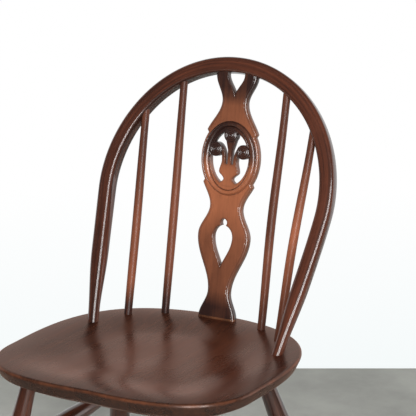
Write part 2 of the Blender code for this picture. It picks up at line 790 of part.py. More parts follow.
def make_stretcher(name, start, end, reach, swell, carriers, root):
    """A stretcher whose ends run past the given points by reach, in sockets in its carriers."""
    along = (end - start).normalized()
    first = start - along * reach
    last = end + along * reach
    length = (last - first).length
    profile = swelled(length, STRETCHER_END_DIAMETER, swell)
    piece = turned(name, first, last, profile, root, WOOD_STAIN)
    for carrier, place, way in ((carriers[0], first, along), (carriers[1], last, -along)):
        hole_end = place + way * LEG_SWELL_DIAMETER
        hole = turned(
            name + "_socket",
            place - way * CLEARANCE,
            hole_end,
            [(z, radius + CLEARANCE) for z, radius in socket_profile(profile)],
            root,
        )
        boolean(carrier, [hole], "DIFFERENCE")
    return piece


def socket_profile(profile):
    """The turning of a stretcher's end, as far as its carrier's far side."""
    return [(z, radius) for z, radius in profile if z <= 2 * LEG_SWELL_DIAMETER]


def main():
    clear_scene()
    root = bpy.data.objects.new("chair", None)
    bpy.context.scene.collection.objects.link(root)
    front = min(point.y for point in seat_outline())
    rear = max(point.y for ring in bow_rings() for point in ring)
    root.location = (0, -(front + rear) / 2, SEAT_HEIGHT)

    seat = make_seat(root)
    bow = make_bow(root)
    for side, name in ((1, "right"), (-1, "left")):
        high, low = bow_tenon_ends(side)
        along = (low - high).normalized()
        past = low + along * SEAT_THICKNESS
        socket = bore("bow_socket_" + name, high, past, BOW_FOOT_DIAMETER / 2 + CLEARANCE, root)
        boolean(seat, [socket], "DIFFERENCE")
        boolean(bow, [wedge("bow_wedge_" + name, low, -along, BOW_FOOT_DIAMETER, root)], "DIFFERENCE")
        make_spindle("spindle_outer_" + name, SPINDLE_OUTER, side, seat, bow, root)
        make_spindle("spindle_inner_" + name, SPINDLE_INNER, side, seat, bow, root)
    make_splat(seat, bow, root)

    sides = []
    for side, name in ((1, "right"), (-1, "left")):
        front = make_leg("leg_front_" + name, LEG_FRONT, LEG_FRONT_SPREAD, side, seat, root)
        rear = make_leg("leg_rear_" + name, LEG_REAR, LEG_REAR_SPREAD, side, seat, root)
        start, end = side_axis(side)
        swell = STRETCHER_SWELL_DIAMETER
        legs = (front, rear)
        sides.append(make_stretcher("stretcher_" + name, start, end, STRETCHER_TENON, swell, legs, root))
    right, left = (start.lerp(end, CROSS_FORWARD) for start, end in (side_axis(1), side_axis(-1)))
    make_stretcher("stretcher_cross", right, left, -CROSS_TENON, CROSS_SWELL_DIAMETER, sides, root)


main()
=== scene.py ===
import math

import bmesh
import bpy
import numpy as np
from mathutils import Matrix, Vector


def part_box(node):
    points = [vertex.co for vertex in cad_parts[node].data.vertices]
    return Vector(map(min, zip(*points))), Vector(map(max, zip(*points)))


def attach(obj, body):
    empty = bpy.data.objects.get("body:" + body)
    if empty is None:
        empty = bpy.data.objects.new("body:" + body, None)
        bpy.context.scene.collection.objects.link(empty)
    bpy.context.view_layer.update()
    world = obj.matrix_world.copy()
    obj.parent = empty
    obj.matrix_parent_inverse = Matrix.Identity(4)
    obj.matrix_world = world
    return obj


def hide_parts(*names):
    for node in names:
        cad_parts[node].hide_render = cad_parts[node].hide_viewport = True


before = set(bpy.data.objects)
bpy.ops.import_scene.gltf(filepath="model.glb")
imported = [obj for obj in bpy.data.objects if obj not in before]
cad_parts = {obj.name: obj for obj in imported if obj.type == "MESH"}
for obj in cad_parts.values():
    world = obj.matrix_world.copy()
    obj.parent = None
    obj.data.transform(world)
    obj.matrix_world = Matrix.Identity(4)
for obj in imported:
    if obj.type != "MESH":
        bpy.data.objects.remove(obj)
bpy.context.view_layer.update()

# Sizes are in metres, in the seat's frame: x to the sitter's left, y to the back from the line through
# the bow's feet, z up from the seat's rim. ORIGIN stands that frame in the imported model's frame.

# Seat
SEAT_HEIGHT = 0.435
SEAT_HALF_WIDTH = 0.217
SEAT_FRONT = 0.285
SEAT_REAR = 0.127
SEAT_WIDEST = 0.157
SEAT_FRONT_FLAT = 0.036
SEAT_FRONT_CORNER = 0.154
SEAT_SIDE_RUN = 0.082
SEAT_REAR_ROUND = 0.244
SEAT_THICKNESS = 0.034
SEAT_EDGE = 0.021
SEAT_UNDERCUT = 0.010
SEAT_BEVEL = 0.026
SEAT_ARRIS = 0.005
SEAT_LOWER_ARRIS = 0.006
SEAT_UNDER_ARRIS = 0.004
RIM_WIDTH = 0.026
DISH_DEPTH = 0.009
DISH_RUN = 0.45
POMMEL_HEIGHT = 0.005
POMMEL_WIDTH = 0.045
POMMEL_LENGTH = 0.130
DISH_RINGS = 40
DISH_LAST_SHARE = 0.98
UNDERSIDE_SHARES = (0.02, 0.5)
ORIGIN = Vector((0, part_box("seat")[0][1] + SEAT_FRONT, SEAT_HEIGHT))

# Seat: its stain, in soft patches with rates in radians per metre across and along, darker round the rim,
# and the wear of its upper arris, which also stands as a painted highlight along the rim
SEAT_STAIN = 0.30
SEAT_PATCH = 0.12
SEAT_PATCH_RATES = (14, 9)
SEAT_PATCH_FORWARD = 0.08
RIM_SHADE = 0.14
RIM_SHADE_SHARE = 0.10
SEAT_WEAR_AND_HIGHLIGHT = 0.7

# Back bow
BOW_FOOT_SPREAD = 0.165
BOW_HALF_WIDTH = 0.1934
BOW_SPRING = 0.2235
BOW_CROWN = 0.206
BOW_SIDE_BOW = 1.15
BOW_LEAN = math.radians(23.7)
BOW_SWEEP = 0.006
BOW_SWEEP_UP = 0.200
BOW_WIDTH = 0.0240
BOW_DEPTH = 0.0235
BOW_FOOT_DIAMETER = 0.0172
BOW_TAPER = 0.110
BOW_ARRIS = 0.0056
BOW_LOW_ARRIS = 0.0062
BOW_FLAT = 0.0002
BOW_TWIST = math.radians(8)
BOW_CHAMFER = 0.35
BOW_ARRIS_START = 0.4
BOW_SMOOTH = 0.030
BOW_SMOOTH_PASSES = 12
BOW_TENON = 0.030

# Back bow: its stain, painted light low on its leg at x > 0 and painted shade low on the other, and on its
# inner face painted light low down and painted shade high up under the crown
BOW_STAIN = 0.30
BOW_LEG_LIGHT_AND_SHADE = 0.12
BOW_INNER_PAINTED_LIGHT = 0.35
BOW_INNER_PAINTED_SHADE = -0.25
BOW_INNER_POWER = 8

# Spindles, outer then inner: foot x, foot y, top x
SPINDLE_OUTER = (0.1353, 0.0567, 0.1500)
SPINDLE_INNER = (0.087, 0.0913, 0.092)
SPINDLE_FORWARD = 0.0050
SPINDLE_BEND = 0.0025
SPINDLE_FOOT_DIAMETER = 0.0124
SPINDLE_TOP_DIAMETER = 0.0120
SPINDLE_SWELL = 0.0008
SPINDLE_SOCKET = 0.017
SPINDLE_TOP_TENON = 0.004

# Spindles: their stain along the height, as (share of the height, paleness), with painted light and shade
# between them: the outer right one painted paler where it is lit, the inner right one darker where it is
# shaded
SPINDLE_TONE_AND_LIGHT = {
    "outer_right": ((0.0, 0.12), (0.15, 0.28), (0.36, 0.57), (0.58, 0.57), (0.80, 0.30), (1.0, 0.22)),
    "outer_left": ((0.0, 0.0), (0.05, 0.02), (0.17, 0.46), (0.50, 0.48), (0.62, 0.38), (0.78, 0.20),
                   (1.0, 0.16)),
    "inner_right": ((0.0, 0.22), (0.10, 0.30), (0.35, 0.34), (0.50, 0.20), (0.65, 0.14), (0.85, 0.26),
                    (1.0, 0.18)),
    "inner_left": ((0.0, 0.0), (0.06, 0.02), (0.20, 0.34), (0.50, 0.37), (0.70, 0.26), (1.0, 0.16)),
}

# Splat: heights are measured up from the seat, drops down from the bow's centre line
SPLAT_FOOT_Y = 0.0990
SPLAT_THICKNESS = 0.0125
SPLAT_FORWARD = 0.0045
SPLAT_SINK = 0.004
SPLAT_FULLER = 0.0012
SPLAT_FOOT_HALF = 0.0316
SPLAT_WAIST_HALF = 0.0182
SPLAT_WAIST_UP = 0.043
SPLAT_BELLY_HALF = 0.0445
SPLAT_BELLY_UP = 0.130
SPLAT_NECK_HALF = 0.0273
SPLAT_NECK_UP = 0.177
SPLAT_EAR_HALF = 0.047
SPLAT_EAR_REACH = 0.0265
OVAL_UP = 0.2546
OVAL_HALF_WIDTH = 0.0504
OVAL_HALF_HEIGHT = 0.0625
OVAL_NOTCH = 0.037
OVAL_EAR = 0.0045
COLLAR_HALF = 0.0212
COLLAR_DROP = 0.056
HORN_HALF = 0.035
HORN_DROP = 0.015
HORN_SINK = 0.004
FORK_HALF = 0.0148
FORK_TIP_DROP = 0.0475
FORK_DROP = 0.013
DROP_TIP_UP = 0.082
DROP_WIDEST_UP = 0.130
DROP_HALF = 0.0172
DROP_TIP_CURVE = 1.3
DROP_NECK_HALF = 0.0045
DROP_SHOULDER = 0.0188
DROP_FINIAL_UP = 0.153
DROP_FINIAL_RADIUS = 0.0058
EYE_HALF_WIDTH = 0.034
EYE_HALF_HEIGHT = 0.043
VASE_NECK_HALF = 0.0075
VASE_NECK_UP = 0.2218
VASE_LIP_HALF = 0.0166
VASE_LIP_UP = 0.2332
VASE_FOOT_HALF = 0.020
VASE_FOOT_UP = 0.2095
PLUME_HEAD_RADIUS = 0.0114
PLUME_STEM_WIDTH = 0.0060
PLUME_SIDE_X = 0.0245
PLUME_SIDE_UP = 0.267
PLUME_TOP_UP = 0.2913
PLUME_SPREAD_UP = 0.250
PLUME_SPLIT_UP = 0.2455
PLUME_SLOT = 0.0042
PLUME_CURL = math.radians(100)
PLUME_MIDDLE_HALF = 0.0029
PLUME_MIDDLE_FLARE = 0.0036
PLUME_MIDDLE_TOP_HALF = 0.0108
PLUME_HEADS = ((0.0, PLUME_TOP_UP), (PLUME_SIDE_X, PLUME_SIDE_UP), (-PLUME_SIDE_X, PLUME_SIDE_UP))

# Splat: carving of its front face
EDGE_ROUND = 0.0045
EDGE_QUIRK = 0.0007
EDGE_QUIRK_DEPTH = 0.0006
HOLE_ROUND = 0.0012
BACK_ROUND = 0.0030
MOULD_HALF_WIDTH = 0.0468
MOULD_HALF_HEIGHT = 0.0578
MOULD_QUIRK = 0.0012
MOULD_QUIRK_DEPTH = 0.0012
MOULD_RISE = 0.0030
MOULD_ROUND = 0.75
FIELD_HALF_WIDTH = 0.0362
FIELD_HALF_HEIGHT = 0.0502
FIELD_GROOVE = 0.0008
FIELD_GROOVE_DEPTH = 0.0014
HEAD_RISE = 0.0022
HEAD_EDGE_RISE = 0.0012
HEAD_SINK = 0.0040
HEAD_REED = 0.0029
HEAD_REED_DEPTH = 0.00036
HEAD_RINGS = 46
HEAD_LAST_SHARE = 0.02
HEAD_SIDES = 56
SPLAT_GRID = 0.0007
GRID_LEAST_CUT = SPLAT_GRID / 12

# Splat: its stain, as (height, paleness)
SPLAT_STAIN = ((0.0, 0.0), (0.018, 0.04), (0.043, 0.36), (0.085, 0.42), (0.130, 0.46), (0.172, 0.86),
               (0.245, 0.76), (0.318, 0.49), (0.338, 0.42), (0.352, 0.12), (0.366, 0.02), (0.600, 0.0))

# Splat: how its stain darkens towards edges and above the oval's middle, how its front darkens in furrows
# and in the quirk along its edge, and the plumes' heads: dark, with painted highlights along their reeds'
# crests
EDGE_PALENESS = 0.45
EDGE_SHADE_WIDTH = 0.006
HOLE_SHADE_LEAD = 0.002
UPPER_SHADE = 0.90
UPPER_SHADE_START = OVAL_UP - 0.022
UPPER_SHADE_RUN = 0.034
FURROW_SPREAD = 1.5
FURROW_FADE = 0.85
FURROW_DARK = 0.12
LOW_QUIRK_SHARE = 0.25
EDGE_QUIRK_FADE = 0.30
HEAD_FURROW_STAIN = -0.26
HEAD_CREST_HIGHLIGHT = 0.38
HEAD_REED_POWER = 3

# Splat: the wear of its outer edges, and a pale line along its foot that is a painted reflection
EDGE_WEAR = 0.20
EDGE_WEAR_WIDTH = 0.0035
FOOT_REFLECTION = 0.25
FOOT_REFLECTION_UP = 0.0018

# Legs and stretchers
LEG_FRONT = (0.142, -0.215)
LEG_REAR = (0.123, 0.020)
LEG_FRONT_SPREAD = (0.080, -0.060)
LEG_REAR_SPREAD = (0.094, 0.120)
LEG_SINK = 0.010
LEG_TOP_DIAMETER = 0.0235
LEG_SHOULDER = 0.026
LEG_SWELL_DIAMETER = 0.0330
LEG_SWELL_DROP = 0.150
LEG_FOOT_DIAMETER = 0.0230
LEG_FOOT_CHAMFER = 0.0015
STRETCHER_FRONT_DROP = 0.145
STRETCHER_REAR_DROP = 0.123
STRETCHER_END_DIAMETER = 0.0150
STRETCHER_SWELL_DIAMETER = 0.0290
STRETCHER_TENON = 0.003
CROSS_FORWARD = 0.42
CROSS_SWELL_DIAMETER = 0.0250
CROSS_TENON = 0.006
# The front left leg is painted paler, as painted light with its highlight, and the rear right one darker, as
# painted shade.
LEG_TONE_AND_LIGHT = {"leg_front_left": 0.44, "leg_rear_right": 0.10}
LOWER_STAIN = 0.36

# Camera: place in the seat's frame, view angles, and lens for a 36 mm wide square picture
CAMERA_PLACE = Vector((1.72935, -2.94790, 1.14287))
CAMERA_AZIMUTH = math.radians(29.76)
CAMERA_ELEVATION = math.radians(15.34)
CAMERA_LENS = 201.62
CAMERA_SENSOR = 36.0

# Room: the floor and wall, and how bright the wall is to the camera and in reflections
FLOOR_SIZE = 6.0
FLOOR_AHEAD = 2.0
FLOOR_COLOUR = (0.402, 0.406, 0.374, 1.0)
FLOOR_MOTTLE = 0.42
WALL_BEHIND = 1.094
WALL_HEIGHT = 2.1
WALL_COLOUR = (0.85, 0.85, 0.85, 1.0)
WALL_MOTTLE = 0.02
WALL_SHOWN = 1.0
WALL_IN_GLOSS = 0.71
WALL_SHADE = (0.915, 0.955, 0.958, 1.0)
WALL_SHADE_HEIGHT = 0.38
STAGE_ROUGHNESS = 0.7
WHITE = (1.0, 1.0, 1.0, 1.0)

# Lamps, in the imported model's frame: place, target, size, watts, and whether reflections show them
CHEST = (0, 0, 0.6)
WINDOW_MIDDLE = (0, 0, 1.45)
LAMPS = {
    "window_near": ((1.45, -2.51, 1.45), WINDOW_MIDDLE, (0.46, 2.7), 65, True),
    "window_far": ((2.28, -1.79, 1.45), WINDOW_MIDDLE, (0.46, 2.7), 65, True),
    "right_bounce": ((2.5, 2.3, 1.0), CHEST, (1.8, 2.0), 18, True),
    "right_fill": ((2.5, 2.2, 1.3), CHEST, (1.2, 1.6), 24, False),
    "ceiling": ((-0.4, -1.2, 2.9), CHEST, (1.1, 1.1), 26, False),
    "left_fill": ((-2.8, -0.7, 1.6), CHEST, (1.2, 1.6), 28, False),
}
WORLD_LIGHT = 0.06

# Finishes: stain colours, strength of streaks, clouds and pores, roughness range, and the lacquer over them
WOOD_IOR = 1.5
CLEAR_FILM = {"Coat Roughness": 0.06, "Coat IOR": 1.5, "Coat Tint": WHITE}
BROWN_FILM = {"Coat Roughness": 0.28, "Coat IOR": 1.05, "Coat Tint": (1.0, 0.834, 0.768, 1.0)}
# The worn colour also paints the seat's rim highlight and the splat's foot reflection.
DARK_WOOD = {
    "dark": (0.026, 0.010, 0.007, 1), "light": (0.165, 0.046, 0.022, 1), "worn_and_lit": (0.36, 0.120, 0.045, 1),
    "streak": 0.28, "cloud": 0.12, "pore": 0.45,
    "gloss": (0.26, 0.36), "specular": 0.3, "coat": 0.9, "film": CLEAR_FILM,
}
SPLAT_WOOD = {
    "dark": (0.024, 0.010, 0.008, 1), "light": (0.365, 0.122, 0.055, 1), "worn_and_lit": (0.46, 0.19, 0.08, 1),
    "streak": 0.05, "cloud": 0.17, "pore": 0.25,
    "gloss": (0.26, 0.36), "specular": 0.4, "coat": 0.8, "film": CLEAR_FILM,
}
SPINDLE_WOOD = {
    "dark": (0.020, 0.009, 0.008, 1), "light": (0.420, 0.132, 0.063, 1), "worn_and_lit": (0.46, 0.19, 0.08, 1),
    "streak": 0.07, "cloud": 0.10, "pore": 0.35,
    "gloss": (0.36, 0.44), "specular": 0.20, "coat": 0.10, "film": CLEAR_FILM,
}
SEAT_WOOD = {
    "dark": (0.016, 0.011, 0.010, 1), "light": (0.124, 0.054, 0.029, 1), "worn_and_lit": (0.30, 0.118, 0.055, 1),
    "streak": 0.19, "cloud": 0.12, "pore": 0.32,
    "gloss": (0.23, 0.33), "specular": 0.50, "coat": 1.0, "film": BROWN_FILM,
}
WEDGE_DARK = (0.22, 0.11, 0.05, 1)
WEDGE_LIGHT = (0.38, 0.22, 0.12, 1)
STEEL_DARK = (0.35, 0.34, 0.33, 1)
STEEL_LIGHT = (0.55, 0.54, 0.52, 1)

# Finishes: each noise as its scale per metre on three axes, its detail and its roughness; the spans of
# noise that are used, what some are turned into, and the step between the fibres of two turned pieces
STREAKS = ((260, 260, 6), 5, 0.62)
PORES = ((1700, 1700, 60), 2, 0.5)
CLOUDS = ((22, 22, 9), 3, 0.55)
SCUFFS = ((26, 26, 26), 4, 0.6)
WEDGE_STREAKS = ((500, 500, 30), 4, 0.6)
DRAWING_MARKS = ((2500, 200, 200), 3, 0.6)
BLOTCHES = ((3.0, 3.0, 3.0), 6, 0.62)
NOISE_SPAN = (0.3, 0.7)
PORE_SPAN = (0.56, 0.68)
PORE_DARKENING = 0.35
SCUFF_SPAN = (0.40, 0.62)
SCUFF_RANGE = (0.35, 1.0)
WEDGE_ROUGHNESS = (0.55, 0.75)
STEEL_ROUGHNESS = (0.28, 0.45)
FIBRE_STEP = np.array((0.31, 0.17, 0.53))
TURNED_PIECES = 11

# Meshes: the angle past which an edge stays sharp, the steps of a turned piece, and next to nothing
SMOOTH_ANGLE = math.radians(38)
ROUND_SIDES = 36
TURNED_RINGS = 60
TINY = 1e-9


# Curves


def ease(start, end, share):
    """Half a cosine wave from start to end."""
    return start + (end - start) * (0.5 - 0.5 * np.cos(np.pi * np.clip(share, 0.0, 1.0)))


def waves(stations, height):
    """The width at a height on a curve that swings between (height, width) stations."""
    for (low, wide_low), (high, wide_high) in zip(stations, stations[1:]):
        if height <= high:
            return float(ease(wide_low, wide_high, (height - low) / (high - low)))
    return stations[-1][1]


def bezier(a, b, c, d, shares):
    s = shares[:, None]
    r = 1 - s
    return a * r**3 + b * 3 * r**2 * s + c * 3 * r * s**2 + d * s**3


def filleted(corners, radii, steps=7):
    """A polyline whose inner corners are rounded to the given radii."""
    corners = [np.array(c, float) for c in corners]
    points = [corners[0]]
    for before, corner, after, radius in zip(corners, corners[1:], corners[2:], radii):
        inwards = (before - corner) / np.linalg.norm(before - corner)
        outwards = (after - corner) / np.linalg.norm(after - corner)
        half = math.acos(float(np.clip(inwards @ outwards, -1, 1))) / 2
        reach = radius / math.tan(half)
        halfway = inwards + outwards
        middle = halfway / np.linalg.norm(halfway) * radius / math.sin(half) + corner
        start = corner + inwards * reach - middle
        end = corner + outwards * reach - middle
        turn = math.acos(float(np.clip(start @ end / radius**2, -1, 1)))
        for share in np.linspace(0, 1, steps):
            mix = (math.sin((1 - share) * turn) * start + math.sin(share * turn) * end) / math.sin(turn)
            points.append(middle + mix)
    points.append(corners[-1])
    return points


# Meshes


def tube(rings):
    """Vertices and faces of a closed skin through matching rings of points."""
    count = len(rings[0])
    verts = np.concatenate(rings)
    faces = []
    for k in range(len(rings) - 1):
        low = k * count
        for i in range(count):
            j = (i + 1) % count
            faces.append((low + i, low + j, low + count + j, low + count + i))
    last = (len(rings) - 1) * count
    faces.append(tuple(reversed(range(count))))
    faces.append(tuple(range(last, last + count)))
    return verts, faces


def dress(name, verts, faces, material, nodes, grain, tone, wear_and_painted_light=None):
    """One wooden piece: its mesh, with its fibres' directions, shading, and scuffed edges with some painted
    light, stored on its points.
    """
    mesh = bpy.data.meshes.new(name)
    mesh.from_pydata([tuple(Vector(v) + ORIGIN) for v in verts], [], faces)
    shape = bmesh.new()
    shape.from_mesh(mesh)
    bmesh.ops.recalc_face_normals(shape, faces=shape.faces)
    shape.to_mesh(mesh)
    shape.free()
    count = len(mesh.vertices)
    fibres = mesh.attributes.new("grain", "FLOAT_VECTOR", "POINT")
    fibres.data.foreach_set("vector", np.asarray(grain, np.float32).ravel())
    for key, values in (("tone", tone), ("wear_and_painted_light", np.zeros(count) if wear_and_painted_light is None else wear_and_painted_light)):
        layer = mesh.attributes.new(key, "FLOAT", "POINT")
        layer.data.foreach_set("value", np.asarray(values, np.float32))
    mesh.shade_smooth()
    mesh.set_sharp_from_angle(angle=SMOOTH_ANGLE)
    mesh.materials.append(material)
    thing = bpy.data.objects.new(name, mesh)
    bpy.context.scene.collection.objects.link(thing)
    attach(thing, "root")
    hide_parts(*nodes)


def turned(start, end, profile, bend=None):
    """Rings and fibre coordinates of a turned piece; profile lists (distance from start, radius)."""
    axis = (end - start).normalized()
    turn = axis.to_track_quat("Z", "Y").to_matrix()
    frame_x = np.array(turn.col[0])
    frame_y = np.array(turn.col[1])
    angles = np.linspace(0, 2 * np.pi, ROUND_SIDES, endpoint=False)
    rings = []
    fibres = []
    for k, (distance, radius) in enumerate(profile):
        centre = np.array(start + axis * distance)
        if bend is not None:
            centre = centre + bend[k]
        flat = np.stack([np.cos(angles) * radius, np.sin(angles) * radius], 1)
        rings.append(centre + flat[:, :1] * frame_x + flat[:, 1:] * frame_y)
        fibres.append(np.column_stack([flat, np.full(ROUND_SIDES, distance)]))
    return rings, np.concatenate(fibres)


# Seat


def seat_outline(steps=64):
    """Points round the seat's rim, from the middle of the front towards +x."""
    front = np.array((0, -SEAT_FRONT))
    side = np.array((SEAT_HALF_WIDTH, -SEAT_WIDEST))
    rear = np.array((0, SEAT_REAR))
    across = np.array((1.0, 0))
    back = np.array((0, 1.0))
    shares = np.linspace(0, 1, steps, endpoint=False)
    half = np.concatenate([
        bezier(front, front + across * SEAT_FRONT_FLAT, side - back * SEAT_FRONT_CORNER, side, shares),
        bezier(side, side + back * SEAT_SIDE_RUN, rear + across * SEAT_REAR_ROUND, rear, shares),
        rear[None],
    ])
    return np.concatenate([half, (half * (-1, 1))[-2:0:-1]])


def inset(outline, distance):
    """The outline moved inwards, each point along its own normal."""
    along = np.roll(outline, -1, 0) - np.roll(outline, 1, 0)
    along /= np.linalg.norm(along, axis=1)[:, None]
    return outline + np.column_stack([-along[:, 1], along[:, 0]]) * distance


def saddle(x, y, share):
    """Height of the seat's hollow: share runs from 0 at the rim to 1 at the middle."""
    fall = ease(0, 1, share / DISH_RUN)
    forward = ease(0, 1, (-y - SEAT_FRONT + SEAT_WIDEST + POMMEL_LENGTH / 2) / POMMEL_LENGTH)
    pommel = POMMEL_HEIGHT * forward * np.exp(-((x / POMMEL_WIDTH) ** 2))
    return (pommel - DISH_DEPTH) * fall


def make_seat(material):
    rim = seat_outline()
    middle = np.array((0, (SEAT_REAR - SEAT_FRONT) / 2))
    lower = SEAT_UNDERCUT + SEAT_BEVEL
    profile = filleted(
        [(lower + RIM_WIDTH, -SEAT_THICKNESS), (lower, -SEAT_THICKNESS), (SEAT_UNDERCUT, -SEAT_EDGE),
         (0, 0), (RIM_WIDTH, 0)],
        [SEAT_UNDER_ARRIS, SEAT_LOWER_ARRIS, SEAT_ARRIS],
    )
    count = len(rim)
    rings = []
    wear_and_painted_light = []
    shade = []
    under = inset(rim, lower + RIM_WIDTH)
    for share in UNDERSIDE_SHARES:
        rings.append(np.column_stack([middle + (under - middle) * share, np.full(count, -SEAT_THICKNESS)]))
        wear_and_painted_light.append(0.0)
        shade.append(0.0)
    # The arris's wear peaks at its crest, where it also stands as a painted highlight.
    crest = SEAT_ARRIS / 3
    for distance, z in profile:
        rings.append(np.column_stack([inset(rim, distance), np.full(count, z)]))
        off_crest = math.hypot(distance - crest, z + crest)
        wear_and_painted_light.append(SEAT_WEAR_AND_HIGHLIGHT * math.exp(-((off_crest / (SEAT_ARRIS / 2)) ** 2)))
        shade.append(RIM_SHADE)
    inner = inset(rim, RIM_WIDTH)
    for share in np.linspace(0, DISH_LAST_SHARE, DISH_RINGS)[1:]:
        flat = middle + (inner - middle) * (1 - share)
        rings.append(np.column_stack([flat, saddle(flat[:, 0], flat[:, 1], share)]))
        wear_and_painted_light.append(0.0)
        shade.append(RIM_SHADE * math.exp(-share / RIM_SHADE_SHARE))
    verts, faces = tube(rings)
    grain = verts[:, [0, 2, 1]]
    across, along = SEAT_PATCH_RATES
    patches = np.cos(verts[:, 0] * across) * np.cos((verts[:, 1] + SEAT_PATCH_FORWARD) * along)
    tone = SEAT_STAIN + SEAT_PATCH * patches - np.repeat(shade, count)
    wear_and_painted_light = np.repeat(wear_and_painted_light, count)
    dress("saddled_seat", verts, faces, material, ["seat"], grain, tone, wear_and_painted_light)


# Back bow


def bow_point(x, up, behind=0.0):
    """A point of the bow's leaning sheet, which sweeps back a little above the feet."""
    sweep = BOW_SWEEP * float(ease(0, 1, up / BOW_SWEEP_UP))
    y = sweep + up * math.sin(BOW_LEAN) + behind * math.cos(BOW_LEAN)
    return Vector((x, y, up * math.cos(BOW_LEAN) - behind * math.sin(BOW_LEAN)))


def bow_up(x):
    """How far up its sheet the crown's centre line is, at x."""
    return BOW_SPRING + BOW_CROWN * math.sqrt(1 - (x / BOW_HALF_WIDTH) ** 2)


def bow_line(side_steps=60, crown_steps=150):
    """The centre line (x, up), from the right foot over the crown to the left foot."""
    shares = np.linspace(0, 1, side_steps)[:-1]
    swing = 1 - (1 - shares) ** BOW_SIDE_BOW
    spread = BOW_FOOT_SPREAD + (BOW_HALF_WIDTH - BOW_FOOT_SPREAD) * swing
    side = np.column_stack([spread, shares * BOW_SPRING])
    angles = np.linspace(0, np.pi, crown_steps)
    crown = np.column_stack([BOW_HALF_WIDTH * np.cos(angles), BOW_SPRING + BOW_CROWN * np.sin(angles)])
    line = np.concatenate([side, crown, (side * (-1, 1))[::-1]])
    eased = line.copy()
    for _ in range(BOW_SMOOTH_PASSES):
        eased[1:-1] = (eased[:-2] + 2 * eased[1:-1] + eased[2:]) / 4
    line += (eased - line) * np.exp(-(((line[:, 1:] - BOW_SPRING) / BOW_SMOOTH) ** 2))
    foot = (line[0] - line[1]) / np.linalg.norm(line[0] - line[1])
    low = line[0] + foot * BOW_TENON / math.cos(BOW_LEAN)
    return np.concatenate([low[None], line, (low * (-1, 1))[None]])


def bow_section(width, depth, arris, chamfer, steps=7):
    """Points (outwards, behind) of a rectangle with arrises rounded, or flattened towards a chamfer."""
    arris = min(arris, (width - BOW_FLAT) / 2, (depth - BOW_FLAT) / 2)
    points = []
    for corner, (across, back) in enumerate(((1, 1), (-1, 1), (-1, -1), (1, -1))):
        angles = (corner + np.linspace(0, 1, steps)) * math.pi / 2
        arcs = np.column_stack([np.cos(angles), np.sin(angles)])
        for arc, share in zip(arcs, np.linspace(0, 1, steps)):
            chord = arcs[0] + (arcs[-1] - arcs[0]) * share
            turn = (arc + (chord - arc) * chamfer) * arris
            points.append((across * (width / 2 - arris) + turn[0], back * (depth / 2 - arris) + turn[1]))
    return points


def make_bow(material):
    line = bow_line()
    ways = np.gradient(line, axis=0)
    ways /= np.linalg.norm(ways, axis=1)[:, None]
    run = np.concatenate([[0], np.cumsum(np.linalg.norm(np.diff(line, axis=0), axis=1))])
    radius = BOW_FOOT_DIAMETER / 2
    rings = []
    grain = []
    tone = []
    for point, way, distance in zip(line, ways, run):
        out = np.array((way[1], -way[0]))
        share = float(ease(0, 1, point[1] / BOW_TAPER))
        width = BOW_FOOT_DIAMETER + (BOW_WIDTH - BOW_FOOT_DIAMETER) * share
        depth = BOW_FOOT_DIAMETER + (BOW_DEPTH - BOW_FOOT_DIAMETER) * share
        high = float(ease(0, 1, point[1] / BOW_SPRING - BOW_ARRIS_START))
        arris = BOW_LOW_ARRIS + (BOW_ARRIS - BOW_LOW_ARRIS) * high
        arris = radius + (arris - radius) * share
        section = bow_section(width, depth, arris, BOW_CHAMFER * share * (1 - high))
        twist = BOW_TWIST * share * abs(point[0]) / BOW_HALF_WIDTH
        # Low down, the leg at x > 0 is painted paler and the other darker; the inner face is painted paler
        # low down and darker under the crown: painted light and shade.
        stain_and_leg_light = BOW_STAIN + (BOW_LEG_LIGHT_AND_SHADE if point[0] > 0 else -BOW_LEG_LIGHT_AND_SHADE) * (1 - high)
        inner_light_and_shade = BOW_INNER_PAINTED_LIGHT + (BOW_INNER_PAINTED_SHADE - BOW_INNER_PAINTED_LIGHT) * high
        ring = []
        for outwards, behind in section:
            place = point + out * (outwards * math.cos(twist) - behind * math.sin(twist))
            deep = outwards * math.sin(twist) + behind * math.cos(twist)
            ring.append(bow_point(place[0], place[1], deep))
            grain.append((outwards, behind, distance))
            inner = max(0.0, -outwards / width * 2) ** BOW_INNER_POWER
            tone.append(stain_and_leg_light + inner * inner_light_and_shade)
        rings.append(np.array(ring))
    verts, faces = tube(rings)
    dress("bent_bow", verts, faces, material, ["back_bow"], grain, tone)


# Spindles


